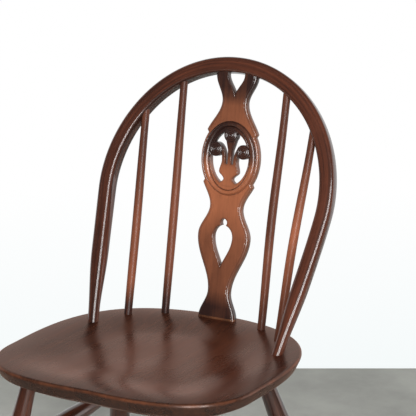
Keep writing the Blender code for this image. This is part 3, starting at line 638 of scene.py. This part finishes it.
def make_spindle(name, place, side, material, offset):
    foot_x, foot_y, top_x = place
    foot = Vector((side * foot_x, foot_y, 0))
    top = bow_point(side * top_x, bow_up(top_x)) - Vector((0, SPINDLE_FORWARD, 0))
    along = (top - foot).normalized()
    start = foot - along * SPINDLE_SOCKET
    end = top + along * SPINDLE_TOP_TENON
    length = (end - start).length
    free = length - SPINDLE_SOCKET - 2 * BOW_WIDTH
    bend_way = np.array(Vector((-side, -1, 0)).normalized()) * SPINDLE_BEND
    profile = [(0.0, SPINDLE_FOOT_DIAMETER / 2)]
    bend = [np.zeros(3)]
    tone = [0.0]
    for share in np.linspace(0, 1, TURNED_RINGS):
        bulge = math.sin(math.pi * share)
        diameter = SPINDLE_FOOT_DIAMETER + (SPINDLE_TOP_DIAMETER - SPINDLE_FOOT_DIAMETER) * share
        profile.append((SPINDLE_SOCKET + share * free, diameter / 2 + SPINDLE_SWELL * bulge))
        bend.append(bend_way * bulge**2)
        # Stain along the height, with this spindle's painted light and shade.
        tone.append(float(np.interp(share, *zip(*SPINDLE_TONE_AND_LIGHT[name.removeprefix("spindle_")]))))
    profile.append((length, SPINDLE_TOP_DIAMETER / 2))
    bend.append(np.zeros(3))
    tone.append(tone[-1])
    rings, grain = turned(start, end, profile, bend)
    verts, faces = tube(rings)
    tone = np.repeat(tone, ROUND_SIDES)
    dress(name + "_turning", verts, faces, material, [name], grain + offset, tone)


# Splat


def splat_axis():
    """The splat's middle line: its foot, and where it comes level with the bow's centre line."""
    foot = Vector((0, SPLAT_FOOT_Y + SPLAT_THICKNESS / 2, 0))
    top = bow_point(0, BOW_SPRING + BOW_CROWN) - Vector((0, SPLAT_FORWARD, 0))
    return foot, top


def mirrored(half):
    """A closed outline from its right half, listed from the bottom to the top."""
    return half + [(-x, z) for x, z in reversed(half) if x > 0]


def splat_outline(top):
    """The whole board's outline, from the foot up to the horns."""
    ear_low = OVAL_UP - OVAL_NOTCH - OVAL_EAR
    ear_high = OVAL_UP + OVAL_NOTCH + OVAL_EAR
    body = [
        (0.0, SPLAT_FOOT_HALF),
        (SPLAT_WAIST_UP, SPLAT_WAIST_HALF),
        (SPLAT_BELLY_UP, SPLAT_BELLY_HALF),
        (SPLAT_NECK_UP, SPLAT_NECK_HALF),
        (OVAL_UP - SPLAT_EAR_REACH, SPLAT_EAR_HALF),
    ]
    half = [(SPLAT_FOOT_HALF, -SPLAT_SINK)]
    half += [(waves(body, z), z) for z in np.linspace(0, ear_low, 90)]
    notch = math.asin(OVAL_NOTCH / OVAL_HALF_HEIGHT)
    for angle in np.linspace(-notch, notch, 40):
        half.append((OVAL_HALF_WIDTH * math.cos(angle), OVAL_UP + OVAL_HALF_HEIGHT * math.sin(angle)))
    crown = [
        (OVAL_UP + SPLAT_EAR_REACH, SPLAT_EAR_HALF),
        (top - COLLAR_DROP, COLLAR_HALF),
        (top - HORN_DROP, HORN_HALF),
    ]
    half += [(waves(crown, z), z) for z in np.linspace(ear_high, top - HORN_DROP, 50)]
    half.append((HORN_HALF, top - HORN_SINK))
    return mirrored(half)


def fork_outline(top):
    """The notch between the two horns, open at the top."""
    fork = [(top - FORK_TIP_DROP, 0.0), (top - FORK_DROP, FORK_HALF)]
    half = [(waves(fork, z), z) for z in np.linspace(top - FORK_TIP_DROP, top - FORK_DROP, 30)]
    return mirrored(half + [(FORK_HALF, top)])


def drop_outline():
    """The drop-shaped opening: a long tip, round shoulders and a small round finial."""
    half = [(0.0, DROP_TIP_UP)]
    for share in np.linspace(0, 1, 30)[1:]:
        width = DROP_HALF * math.sin(math.pi / 2 * share) ** DROP_TIP_CURVE
        half.append((width, DROP_TIP_UP + (DROP_WIDEST_UP - DROP_TIP_UP) * share))
    for angle in np.linspace(0, math.pi / 2, 24)[1:-1]:
        z = DROP_WIDEST_UP + DROP_SHOULDER * math.sin(angle)
        half.append((max(DROP_HALF * math.cos(angle), DROP_NECK_HALF), z))
    for angle in np.linspace(-math.pi / 4, math.pi / 2, 16):
        z = DROP_FINIAL_UP + DROP_FINIAL_RADIUS * math.sin(angle)
        half.append((DROP_FINIAL_RADIUS * math.cos(angle), z))
    half[-1] = (0.0, half[-1][1])
    return mirrored(half)


def motif_outline():
    """The vase with its two side stems and its middle stem, without the plumes' heads."""
    near = PLUME_MIDDLE_HALF + PLUME_SLOT
    far = near + PLUME_STEM_WIDTH
    vase = [
        (VASE_FOOT_UP, VASE_FOOT_HALF),
        (VASE_NECK_UP, VASE_NECK_HALF),
        (VASE_LIP_UP, VASE_LIP_HALF),
        (PLUME_SPREAD_UP, far),
    ]
    half = [(waves(vase, z), z) for z in np.linspace(VASE_FOOT_UP, PLUME_SPREAD_UP, 50)]
    rise = PLUME_SIDE_UP + PLUME_HEAD_RADIUS - PLUME_SPREAD_UP
    for angle in np.linspace(math.pi, PLUME_CURL, 20)[1:]:
        x = PLUME_SIDE_X + (PLUME_SIDE_X - far) * math.cos(angle)
        half.append((x, PLUME_SPREAD_UP + (rise - PLUME_STEM_WIDTH) * math.sin(angle)))
    for angle in np.linspace(PLUME_CURL, math.pi, 20):
        x = PLUME_SIDE_X + (PLUME_SIDE_X - near) * math.cos(angle)
        half.append((x, PLUME_SPREAD_UP + rise * math.sin(angle)))
    half += [
        (near, PLUME_SPLIT_UP),
        (PLUME_MIDDLE_HALF, PLUME_SPLIT_UP),
        (PLUME_MIDDLE_FLARE, PLUME_SIDE_UP),
        (PLUME_MIDDLE_TOP_HALF, PLUME_TOP_UP),
    ]
    return mirrored(half)


def distance_to(outline, x, up):
    """Signed distance to a closed outline, negative inside."""
    points = np.array(outline)
    best = np.full(x.shape, np.inf)
    inside = np.zeros(x.shape, bool)
    for (ax, ay), (bx, by) in zip(points, np.roll(points, -1, 0)):
        run_x, run_y = bx - ax, by - ay
        length = run_x**2 + run_y**2
        if length == 0:
            continue
        share = np.clip(((x - ax) * run_x + (up - ay) * run_y) / length, 0, 1)
        best = np.minimum(best, (x - ax - share * run_x) ** 2 + (up - ay - share * run_y) ** 2)
        if run_y != 0:
            crosses = ((ay > up) != (by > up)) & (x < ax + run_x * (up - ay) / run_y)
            inside ^= crosses
    return np.where(inside, -1, 1) * np.sqrt(best)


def oval_distance(half_width, half_height, x, up):
    """Distance outside an oval about the eye's middle, negative inside, close to true near its edge."""
    rise = up - OVAL_UP
    level = (x / half_width) ** 2 + (rise / half_height) ** 2 - 1
    slope = 2 * np.sqrt((x / half_width**2) ** 2 + (rise / half_height**2) ** 2) + TINY
    return level / slope


class Board:
    """The splat's outline and openings, as distances from their edges."""

    def __init__(self, top):
        self.board = splat_outline(top)
        self.drop = drop_outline()
        self.fork = fork_outline(top)
        self.motif = motif_outline()

    def edges(self, x, up):
        """Distances beyond the outer edge and into an opening, both negative on the wood."""
        outer = distance_to(self.board, x, up) - SPLAT_FULLER
        stems = distance_to(self.motif, x, up)
        for head_x, head_up in PLUME_HEADS:
            stems = np.minimum(stems, np.hypot(x - head_x, up - head_up) - PLUME_HEAD_RADIUS)
        eye = oval_distance(EYE_HALF_WIDTH, EYE_HALF_HEIGHT, x, up)
        holes = np.maximum(-distance_to(self.drop, x, up), np.minimum(-eye, stems))
        return outer, np.maximum(holes, -distance_to(self.fork, x, up))


def rounding(depth_in, radius):
    """How far a rounded edge has fallen away, at a distance in from the edge."""
    left = radius - np.clip(depth_in, 0, radius)
    return radius - np.sqrt(radius**2 - left**2)


def mould(x, up):
    """Distances in from the ring's outer quirk and from its inner groove, and depths into the two."""
    ring = -oval_distance(MOULD_HALF_WIDTH, MOULD_HALF_HEIGHT, x, up)
    field = -oval_distance(FIELD_HALF_WIDTH, FIELD_HALF_HEIGHT, x, up)
    quirk = np.clip(1 - np.abs(ring) / MOULD_QUIRK, 0, 1)
    groove = np.clip(1 - np.abs(field) / FIELD_GROOVE, 0, 1)
    return ring, field, quirk, groove


def carving(x, up):
    """Height of the front face's carving above the board's face."""
    ring, field, quirk, groove = mould(x, up)
    share = np.clip(ring / np.maximum(ring - field, TINY), 0, 1)
    height = np.where((ring > 0) & (field < 0), MOULD_RISE * np.sin(np.pi * share) ** MOULD_ROUND, 0.0)
    return height - MOULD_QUIRK_DEPTH * quirk - FIELD_GROOVE_DEPTH * groove


def plume_head(head_x, head_up, half):
    """A plume's reeded head, as a low button on the board's front: points, faces, and its dark staining with
    painted highlights along the reeds' crests.
    """
    radius = PLUME_HEAD_RADIUS
    angles = np.linspace(0, 2 * np.pi, HEAD_SIDES, endpoint=False)
    rings = []
    head_stain_and_gleam = []
    levels = [(radius, -HEAD_SINK, 0.0)]
    for share in np.linspace(1, HEAD_LAST_SHARE, HEAD_RINGS):
        dome = HEAD_EDGE_RISE + (HEAD_RISE - HEAD_EDGE_RISE) * math.sqrt(1 - share**2)
        wave = math.cos(2 * math.pi * share * radius / HEAD_REED)
        levels.append((radius * share, dome + HEAD_REED_DEPTH * wave, 0.5 + 0.5 * wave))
    for reach, rise, crest in levels:
        x = np.cos(angles) * reach + head_x
        up = np.sin(angles) * reach + head_up
        rings.append(np.column_stack([x, np.full(HEAD_SIDES, -half - rise), up]))
        # The reeds' crests are painted paler as painted highlights; the furrows stay dark.
        head_stain_and_gleam.append(HEAD_FURROW_STAIN + HEAD_CREST_HIGHLIGHT * crest**HEAD_REED_POWER)
    verts, faces = tube(rings)
    return verts, faces, np.repeat(head_stain_and_gleam, HEAD_SIDES)


def clipped_grid(board, top):
    """Points (x, up) and faces of a square grid over the board, cut along its edges."""
    reach = OVAL_HALF_WIDTH + SPLAT_FULLER + 2 * SPLAT_GRID
    xs = np.arange(-reach, reach, SPLAT_GRID)
    ups = np.arange(-SPLAT_SINK - 2 * SPLAT_GRID, top + SPLAT_GRID, SPLAT_GRID)
    x, up = np.meshgrid(xs, ups, indexing="ij")
    outer, holes = board.edges(x, up)
    level = np.maximum(outer, holes)
    level = np.where(np.abs(level) < GRID_LEAST_CUT, -GRID_LEAST_CUT, level)
    points = []
    numbers = {}

    def number(key, place):
        if key not in numbers:
            numbers[key] = len(points)
            points.append(place)
        return numbers[key]

    faces = []
    border = []
    inside = level < 0
    touched = inside[:-1, :-1] | inside[1:, :-1] | inside[1:, 1:] | inside[:-1, 1:]
    for i, j in zip(*np.nonzero(touched)):
        corners = [(i, j), (i + 1, j), (i + 1, j + 1), (i, j + 1)]
        face = []
        cut = []
        for a, b in zip(corners, corners[1:] + corners[:1]):
            if inside[a]:
                face.append(number(a, (x[a], up[a])))
            if inside[a] != inside[b]:
                share = level[a] / (level[a] - level[b])
                place = (x[a] + (x[b] - x[a]) * share, up[a] + (up[b] - up[a]) * share)
                key = (min(a, b), max(a, b))
                cut.append((number(key, place), bool(inside[a])))
                face.append(cut[-1][0])
        if len(face) > 2:
            faces.append(face)
        leaving = [n for n, out in cut if out]
        coming = [n for n, out in cut if not out]
        if len(leaving) == 1:
            border.append((leaving[0], coming[0]))
        elif len(leaving) == 2:
            first = face.index(leaving[0])
            turned_face = face[first:] + face[:first]
            after = [n for n in turned_face if n in coming]
            border += [(leaving[0], after[0]), (leaving[1], after[1])]
    return np.array(points), faces, border


def splat_stain(x, up, outer, holes, line):
    """The staining of the board's front and back, and for both the pale share: scuffed edges, with a painted
    reflection along the foot.
    """
    ring, _, quirk, groove = mould(x, up)
    tone = np.interp(up, *zip(*SPLAT_STAIN))
    upper = ease(0, 1, (up - UPPER_SHADE_START) / UPPER_SHADE_RUN)
    shade = ease(EDGE_PALENESS, 1, np.minimum(-outer, -holes + HOLE_SHADE_LEAD) / EDGE_SHADE_WIDTH)
    shade *= 1 - UPPER_SHADE * upper * ease(0, 1, ring / MOULD_QUIRK)
    low_quirk = quirk * (LOW_QUIRK_SHARE + (1 - LOW_QUIRK_SHARE) * upper)
    furrow = np.clip(FURROW_SPREAD * np.maximum(groove, low_quirk), 0, 1)
    front = tone * shade * (1 - FURROW_FADE * furrow) - FURROW_DARK * furrow - EDGE_QUIRK_FADE * line * tone
    pale_share = EDGE_WEAR * tone * ease(0, 1, 1 + outer / EDGE_WEAR_WIDTH)
    # The pale line along the foot is a painted reflection.
    return front, tone * shade, np.where(up < FOOT_REFLECTION_UP, FOOT_REFLECTION, pale_share)


def make_splat(material):
    foot, top = splat_axis()
    height = (top - foot).length
    half = SPLAT_THICKNESS / 2
    board = Board(height)
    points, faces, border = clipped_grid(board, height)
    x, up = points.T
    outer, holes = board.edges(x, up)
    fall = np.maximum(rounding(-outer, EDGE_ROUND), rounding(-holes, HOLE_ROUND))
    line = np.exp(-(((outer + EDGE_ROUND) / EDGE_QUIRK) ** 2))
    line *= ease(0, 1, oval_distance(MOULD_HALF_WIDTH, MOULD_HALF_HEIGHT, x, up) / EDGE_ROUND)
    front = -half + fall - carving(x, up) + EDGE_QUIRK_DEPTH * line
    back = half - np.maximum(rounding(-outer, BACK_ROUND), rounding(-holes, BACK_ROUND))
    count = len(points)
    local = np.concatenate([np.column_stack([x, front, up]), np.column_stack([x, back, up])])
    every = [tuple(face) for face in faces]
    every += [tuple(n + count for n in reversed(face)) for face in faces]
    every += [(b, a, a + count, b + count) for a, b in border]
    head_stains_and_gleams = []
    for place in PLUME_HEADS:
        points, faces, head_stain_and_gleam = plume_head(*place, half)
        every += [tuple(n + len(local) for n in face) for face in faces]
        local = np.concatenate([local, points])
        head_stains_and_gleams.append(head_stain_and_gleam)
    head_stains_and_gleams = np.concatenate(head_stains_and_gleams)
    lean = Matrix.Rotation(-math.atan2(top.y - foot.y, top.z - foot.z), 3, "X")
    verts = local @ np.array(lean).T + np.array(foot)
    front_tone, back_tone, pale_share = splat_stain(x, up, outer, holes, line)
    tone = np.concatenate([front_tone, back_tone, head_stains_and_gleams])
    wear_and_painted_light = np.concatenate([pale_share, pale_share, np.zeros(len(head_stains_and_gleams))])
    dress("carved_splat", verts, every, material, ["splat"], local, tone, wear_and_painted_light)


# Legs and stretchers


def leg_line(top, spread_to, side):
    """A leg's axis where it leaves the seat's underside, and where it meets the floor."""
    upper = Vector((side * top[0], top[1], -SEAT_THICKNESS))
    lower = Vector((side * (top[0] + spread_to[0]), top[1] + spread_to[1], -SEAT_HEIGHT))
    return upper, lower


def leg_radius(drop, length):
    """A leg's radius at a distance below the seat."""
    if drop <= LEG_SWELL_DROP:
        share = (drop + LEG_SHOULDER) / (LEG_SWELL_DROP + LEG_SHOULDER)
        return float(ease(LEG_TOP_DIAMETER, LEG_SWELL_DIAMETER, share)) / 2
    share = (drop - LEG_SWELL_DROP) / (length - LEG_SWELL_DROP)
    return float(ease(LEG_SWELL_DIAMETER, LEG_FOOT_DIAMETER, share)) / 2


def make_leg(name, top, spread_to, side, material, offset):
    upper, lower = leg_line(top, spread_to, side)
    along = (lower - upper).normalized()
    start = upper - along * LEG_SINK
    length = (lower - upper).length
    drops = np.linspace(-LEG_SINK, length - LEG_FOOT_DIAMETER, TURNED_RINGS)
    profile = [(drop + LEG_SINK, leg_radius(drop, length)) for drop in drops]
    rings, grain = turned(start, lower, profile)
    way = np.array(along)
    fibre_rows = [grain]
    for lift, shrink in ((LEG_FOOT_CHAMFER, 0.0), (0.0, LEG_FOOT_CHAMFER)):
        ends, fibres = turned(start, lower, [(length + LEG_SINK, leg_radius(length, length) - shrink)])
        ring = ends[0]
        reach = (-SEAT_HEIGHT + lift - ring[:, 2]) / way[2]
        rings.append(ring + reach[:, None] * way)
        fibre_rows.append(fibres + np.column_stack([0 * reach, 0 * reach, reach]))
    verts, faces = tube(rings)
    grain = np.concatenate(fibre_rows) + offset
    # Two legs carry painted light and shade: the front left is paler, the rear right darker.
    tone = np.full(len(verts), LEG_TONE_AND_LIGHT.get(name, LOWER_STAIN))
    dress(name + "_turning", verts, faces, material, [name], grain, tone)


def leg_point(top, spread_to, side, drop):
    """The point of a leg's axis at a drop below the seat's rim."""
    upper, lower = leg_line(top, spread_to, side)
    return upper.lerp(lower, (drop - SEAT_THICKNESS) / (SEAT_HEIGHT - SEAT_THICKNESS))


def side_axis(side):
    front = leg_point(LEG_FRONT, LEG_FRONT_SPREAD, side, STRETCHER_FRONT_DROP)
    rear = leg_point(LEG_REAR, LEG_REAR_SPREAD, side, STRETCHER_REAR_DROP)
    return front, rear


def make_stretcher(name, start, end, reach, swell, material, offset):
    along = (end - start).normalized()
    first = start - along * reach
    last = end + along * reach
    length = (last - first).length
    shares = np.linspace(0, 1, TURNED_RINGS)
    diameters = STRETCHER_END_DIAMETER + (swell - STRETCHER_END_DIAMETER) * np.sin(np.pi * shares) ** 2
    rings, grain = turned(first, last, [(s * length, d / 2) for s, d in zip(shares, diameters)])
    verts, faces = tube(rings)
    tone = np.full(len(verts), LOWER_STAIN)
    dress(name + "_turning", verts, faces, material, [name], grain + offset, tone)


# Materials


class Nodes:
    """Shorthand for one material's node tree."""

    def __init__(self, name):
        self.material = bpy.data.materials.new(name)
        self.material.use_nodes = True
        self.tree = self.material.node_tree
        self.shader = self.tree.nodes["Principled BSDF"]

    def link(self, start, end):
        self.tree.links.new(start, end)

    def attribute(self, name, output):
        node = self.tree.nodes.new("ShaderNodeAttribute")
        node.attribute_name = name
        return node.outputs[output]

    def noise(self, vector, kind):
        stretch, detail, roughness = kind
        scale = self.tree.nodes.new("ShaderNodeVectorMath")
        scale.operation = "MULTIPLY"
        scale.inputs[1].default_value = stretch
        self.link(vector, scale.inputs[0])
        node = self.tree.nodes.new("ShaderNodeTexNoise")
        node.inputs["Scale"].default_value = 1.0
        node.inputs["Detail"].default_value = detail
        node.inputs["Roughness"].default_value = roughness
        self.link(scale.outputs[0], node.inputs["Vector"])
        return node.outputs["Fac"]

    def range(self, value, low, high, to_low, to_high):
        node = self.tree.nodes.new("ShaderNodeMapRange")
        for k, number in enumerate((low, high, to_low, to_high), 1):
            node.inputs[k].default_value = number
        self.link(value, node.inputs[0])
        return node.outputs[0]

    def math(self, operation, a, b):
        node = self.tree.nodes.new("ShaderNodeMath")
        node.operation = operation
        for socket, value in zip(node.inputs, (a, b)):
            if isinstance(value, (int, float)):
                socket.default_value = value
            else:
                self.link(value, socket)
        return node.outputs[0]

    def mix(self, factor, a, b):
        node = self.tree.nodes.new("ShaderNodeMix")
        node.data_type = "RGBA"
        for socket, value in ((node.inputs[0], factor), (node.inputs[6], a), (node.inputs[7], b)):
            if isinstance(value, (tuple, float, int)):
                socket.default_value = value
            else:
                self.link(value, socket)
        return node.outputs[2]

    def bump(self, height, strength, distance):
        node = self.tree.nodes.new("ShaderNodeBump")
        node.inputs["Strength"].default_value = strength
        node.inputs["Distance"].default_value = distance
        self.link(height, node.inputs["Height"])
        self.link(node.outputs[0], self.shader.inputs["Normal"])


def lacquered_wood(name, dark, light, worn_and_lit, streak, cloud, pore, gloss, specular, coat, film):
    """Stained wood under lacquer: streaks and pores along the fibres, shaded staining that holds painted
    light and shade on some pieces, and scuffed edges that on some pieces hold a painted highlight and
    reflection.
    """
    n = Nodes(name)
    grain = n.attribute("grain", "Vector")
    tone = n.attribute("tone", "Fac")
    wear_and_painted_light = n.attribute("wear_and_painted_light", "Fac")
    streaks = n.noise(grain, STREAKS)
    pores = n.noise(grain, PORES)
    clouds = n.noise(grain, CLOUDS)
    scuffs = n.noise(grain, SCUFFS)
    share = n.math("ADD", tone, n.range(streaks, *NOISE_SPAN, -streak, streak))
    share = n.math("ADD", share, n.range(clouds, *NOISE_SPAN, -cloud, cloud))
    colour = n.mix(n.range(share, 0, 1, 0, 1), dark, light)
    pore_colour = tuple(c * PORE_DARKENING for c in dark[:3]) + (1.0,)
    colour = n.mix(n.range(pores, *PORE_SPAN, 0.0, pore), colour, pore_colour)
    # Worn edges take the worn colour; on the seat and the splat it also paints a highlight and a reflection.
    pale_share = n.math("MULTIPLY", wear_and_painted_light, n.range(scuffs, *SCUFF_SPAN, *SCUFF_RANGE))
    colour = n.mix(pale_share, colour, worn_and_lit)
    n.link(colour, n.shader.inputs["Base Color"])
    n.link(n.range(clouds, *NOISE_SPAN, *gloss), n.shader.inputs["Roughness"])
    n.bump(streaks, strength=0.05, distance=0.0004)
    n.shader.inputs["Specular IOR Level"].default_value = specular
    n.shader.inputs["Coat Weight"].default_value = coat
    for socket, value in film.items():
        n.shader.inputs[socket].default_value = value
    n.shader.inputs["IOR"].default_value = WOOD_IOR
    return n.material


def bare_wood(name, dark, light):
    """Unfinished wedge wood, with upright fibres."""
    n = Nodes(name)
    place = n.tree.nodes.new("ShaderNodeTexCoord").outputs["Object"]
    streaks = n.noise(place, WEDGE_STREAKS)
    n.link(n.mix(streaks, dark, light), n.shader.inputs["Base Color"])
    n.link(n.range(streaks, *NOISE_SPAN, *WEDGE_ROUGHNESS), n.shader.inputs["Roughness"])
    n.bump(streaks, strength=0.2, distance=0.0003)
    return n.material


def drawn_steel(name, dark, light):
    """Plain pin wire with drawing marks."""
    n = Nodes(name)
    place = n.tree.nodes.new("ShaderNodeTexCoord").outputs["Object"]
    marks = n.noise(place, DRAWING_MARKS)
    n.link(n.mix(marks, dark, light), n.shader.inputs["Base Color"])
    n.link(n.range(marks, *NOISE_SPAN, *STEEL_ROUGHNESS), n.shader.inputs["Roughness"])
    n.bump(marks, strength=0.1, distance=0.0001)
    n.shader.inputs["Metallic"].default_value = 1.0
    return n.material


def stage_material(name, colour, mottle, shown=None):
    """A room surface, clear from behind; it can be shown at a set brightness to the camera and to gloss."""
    n = Nodes(name)
    place = n.tree.nodes.new("ShaderNodeTexCoord").outputs["Object"]
    blotches = n.noise(place, BLOTCHES)
    low = tuple(c * (1 - mottle) for c in colour[:3]) + (1.0,)
    n.link(n.mix(n.range(blotches, *NOISE_SPAN, 0.0, 1.0), low, colour), n.shader.inputs["Base Color"])
    n.shader.inputs["Roughness"].default_value = STAGE_ROUGHNESS
    surface = n.shader.outputs[0]
    if shown is not None:
        rays = n.tree.nodes.new("ShaderNodeLightPath")
        seen = n.math("MAXIMUM", rays.outputs["Is Camera Ray"], rays.outputs["Is Glossy Ray"])
        seen = n.math("MAXIMUM", seen, rays.outputs["Is Transmission Ray"])
        glow = n.tree.nodes.new("ShaderNodeEmission")
        n.link(n.range(rays.outputs["Is Camera Ray"], 0, 1, WALL_IN_GLOSS, shown), glow.inputs["Strength"])
        # Shown, the wall is painted darker towards the floor: painted shade.
        height = n.tree.nodes.new("ShaderNodeSeparateXYZ")
        n.link(place, height.inputs[0])
        rise = n.range(height.outputs["Z"], 0, WALL_SHADE_HEIGHT, 0, 1)
        n.link(n.mix(rise, WALL_SHADE, WHITE), glow.inputs["Color"])
        both = n.tree.nodes.new("ShaderNodeMixShader")
        n.link(seen, both.inputs[0])
        n.link(surface, both.inputs[1])
        n.link(glow.outputs[0], both.inputs[2])
        surface = both.outputs[0]
    one_way = n.tree.nodes.new("ShaderNodeMixShader")
    n.link(n.tree.nodes.new("ShaderNodeNewGeometry").outputs["Backfacing"], one_way.inputs[0])
    n.link(surface, one_way.inputs[1])
    n.link(n.tree.nodes.new("ShaderNodeBsdfTransparent").outputs[0], one_way.inputs[2])
    n.link(one_way.outputs[0], n.tree.nodes["Material Output"].inputs["Surface"])
    return n.material


# Stage, lights and camera


def make_plane(name, corners, material):
    mesh = bpy.data.meshes.new(name)
    mesh.from_pydata(corners, [], [tuple(range(len(corners)))])
    mesh.materials.append(material)
    thing = bpy.data.objects.new(name, mesh)
    bpy.context.scene.collection.objects.link(thing)


def make_stage():
    reach = FLOOR_SIZE / 2
    across = Vector((math.cos(CAMERA_AZIMUTH), math.sin(CAMERA_AZIMUTH), 0)) * reach
    away = Vector((-math.sin(CAMERA_AZIMUTH), math.cos(CAMERA_AZIMUTH), 0))
    foot = Vector((0, ORIGIN.y, 0)) + away * WALL_BEHIND
    rise = Vector((0, 0, WALL_HEIGHT))
    near = foot - away * (WALL_BEHIND + FLOOR_AHEAD)
    far = foot + away * reach
    floor = [near - across, near + across, far + across, far - across]
    wall = [foot - across, foot + across, foot + across + rise, foot - across + rise]
    make_plane("floor", floor, stage_material("floor_grey", FLOOR_COLOUR, FLOOR_MOTTLE))
    make_plane("wall", wall, stage_material("wall_white", WALL_COLOUR, WALL_MOTTLE, WALL_SHOWN))


def make_lamp(name, place, target, size, power, in_gloss):
    lamp = bpy.data.lights.new(name, "AREA")
    lamp.shape = "RECTANGLE"
    lamp.size, lamp.size_y = size
    lamp.energy = power
    thing = bpy.data.objects.new(name, lamp)
    thing.location = place
    thing.rotation_euler = (Vector(target) - Vector(place)).to_track_quat("-Z", "Y").to_euler()
    thing.visible_camera = False
    thing.visible_glossy = in_gloss
    bpy.context.scene.collection.objects.link(thing)


def make_lights():
    world = bpy.data.worlds.new("studio")
    world.use_nodes = True
    tree = world.node_tree
    dim = tree.nodes["Background"]
    dim.inputs["Color"].default_value = WHITE
    dim.inputs["Strength"].default_value = WORLD_LIGHT
    white = tree.nodes.new("ShaderNodeBackground")
    white.inputs["Color"].default_value = WHITE
    both = tree.nodes.new("ShaderNodeMixShader")
    tree.links.new(tree.nodes.new("ShaderNodeLightPath").outputs["Is Camera Ray"], both.inputs[0])
    tree.links.new(dim.outputs[0], both.inputs[1])
    tree.links.new(white.outputs[0], both.inputs[2])
    tree.links.new(both.outputs[0], tree.nodes["World Output"].inputs["Surface"])
    bpy.context.scene.world = world
    for name, settings in LAMPS.items():
        make_lamp(name, *settings)


def make_camera():
    lens = bpy.data.cameras.new("camera")
    lens.lens = CAMERA_LENS
    lens.sensor_width = CAMERA_SENSOR
    thing = bpy.data.objects.new("camera", lens)
    thing.location = ORIGIN + CAMERA_PLACE
    thing.rotation_euler = (math.pi / 2 - CAMERA_ELEVATION, 0, CAMERA_AZIMUTH)
    bpy.context.scene.collection.objects.link(thing)
    bpy.context.scene.camera = thing


def make_chair():
    dark_wood = lacquered_wood("dark_lacquered_wood", **DARK_WOOD)
    splat_wood = lacquered_wood("shaded_lacquered_wood", **SPLAT_WOOD)
    spindle_wood = lacquered_wood("satin_spindle_wood", **SPINDLE_WOOD)
    seat_wood = lacquered_wood("rubbed_seat_wood", **SEAT_WOOD)
    make_seat(seat_wood)
    make_bow(dark_wood)
    make_splat(splat_wood)
    # Each turned piece is cut from its own stretch of the fibres.
    fibres = [FIBRE_STEP * (k + 1) for k in range(TURNED_PIECES)]
    for k, (side, word) in enumerate(((1, "right"), (-1, "left"))):
        make_spindle("spindle_outer_" + word, SPINDLE_OUTER, side, spindle_wood, fibres[k])
        make_spindle("spindle_inner_" + word, SPINDLE_INNER, side, spindle_wood, fibres[k + 2])
        make_leg("leg_front_" + word, LEG_FRONT, LEG_FRONT_SPREAD, side, dark_wood, fibres[k + 4])
        make_leg("leg_rear_" + word, LEG_REAR, LEG_REAR_SPREAD, side, dark_wood, fibres[k + 6])
        make_stretcher("stretcher_" + word, *side_axis(side), STRETCHER_TENON, STRETCHER_SWELL_DIAMETER,
                       dark_wood, fibres[k + 8])
    right, left = (start.lerp(end, CROSS_FORWARD) for start, end in (side_axis(1), side_axis(-1)))
    make_stretcher("stretcher_cross", right, left, -CROSS_TENON, CROSS_SWELL_DIAMETER, dark_wood, fibres[-1])

    wedge = bare_wood("wedge_wood", WEDGE_DARK, WEDGE_LIGHT)
    steel = drawn_steel("pin_steel", STEEL_DARK, STEEL_LIGHT)
    for name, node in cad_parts.items():
        if "wedge" in name:
            node.material_slots[0].material = wedge
        elif "pin" in name.split("_"):
            node.material_slots[0].material = steel


make_chair()
make_stage()
make_lights()
make_camera()
bpy.context.scene.view_settings.view_transform = "Standard"
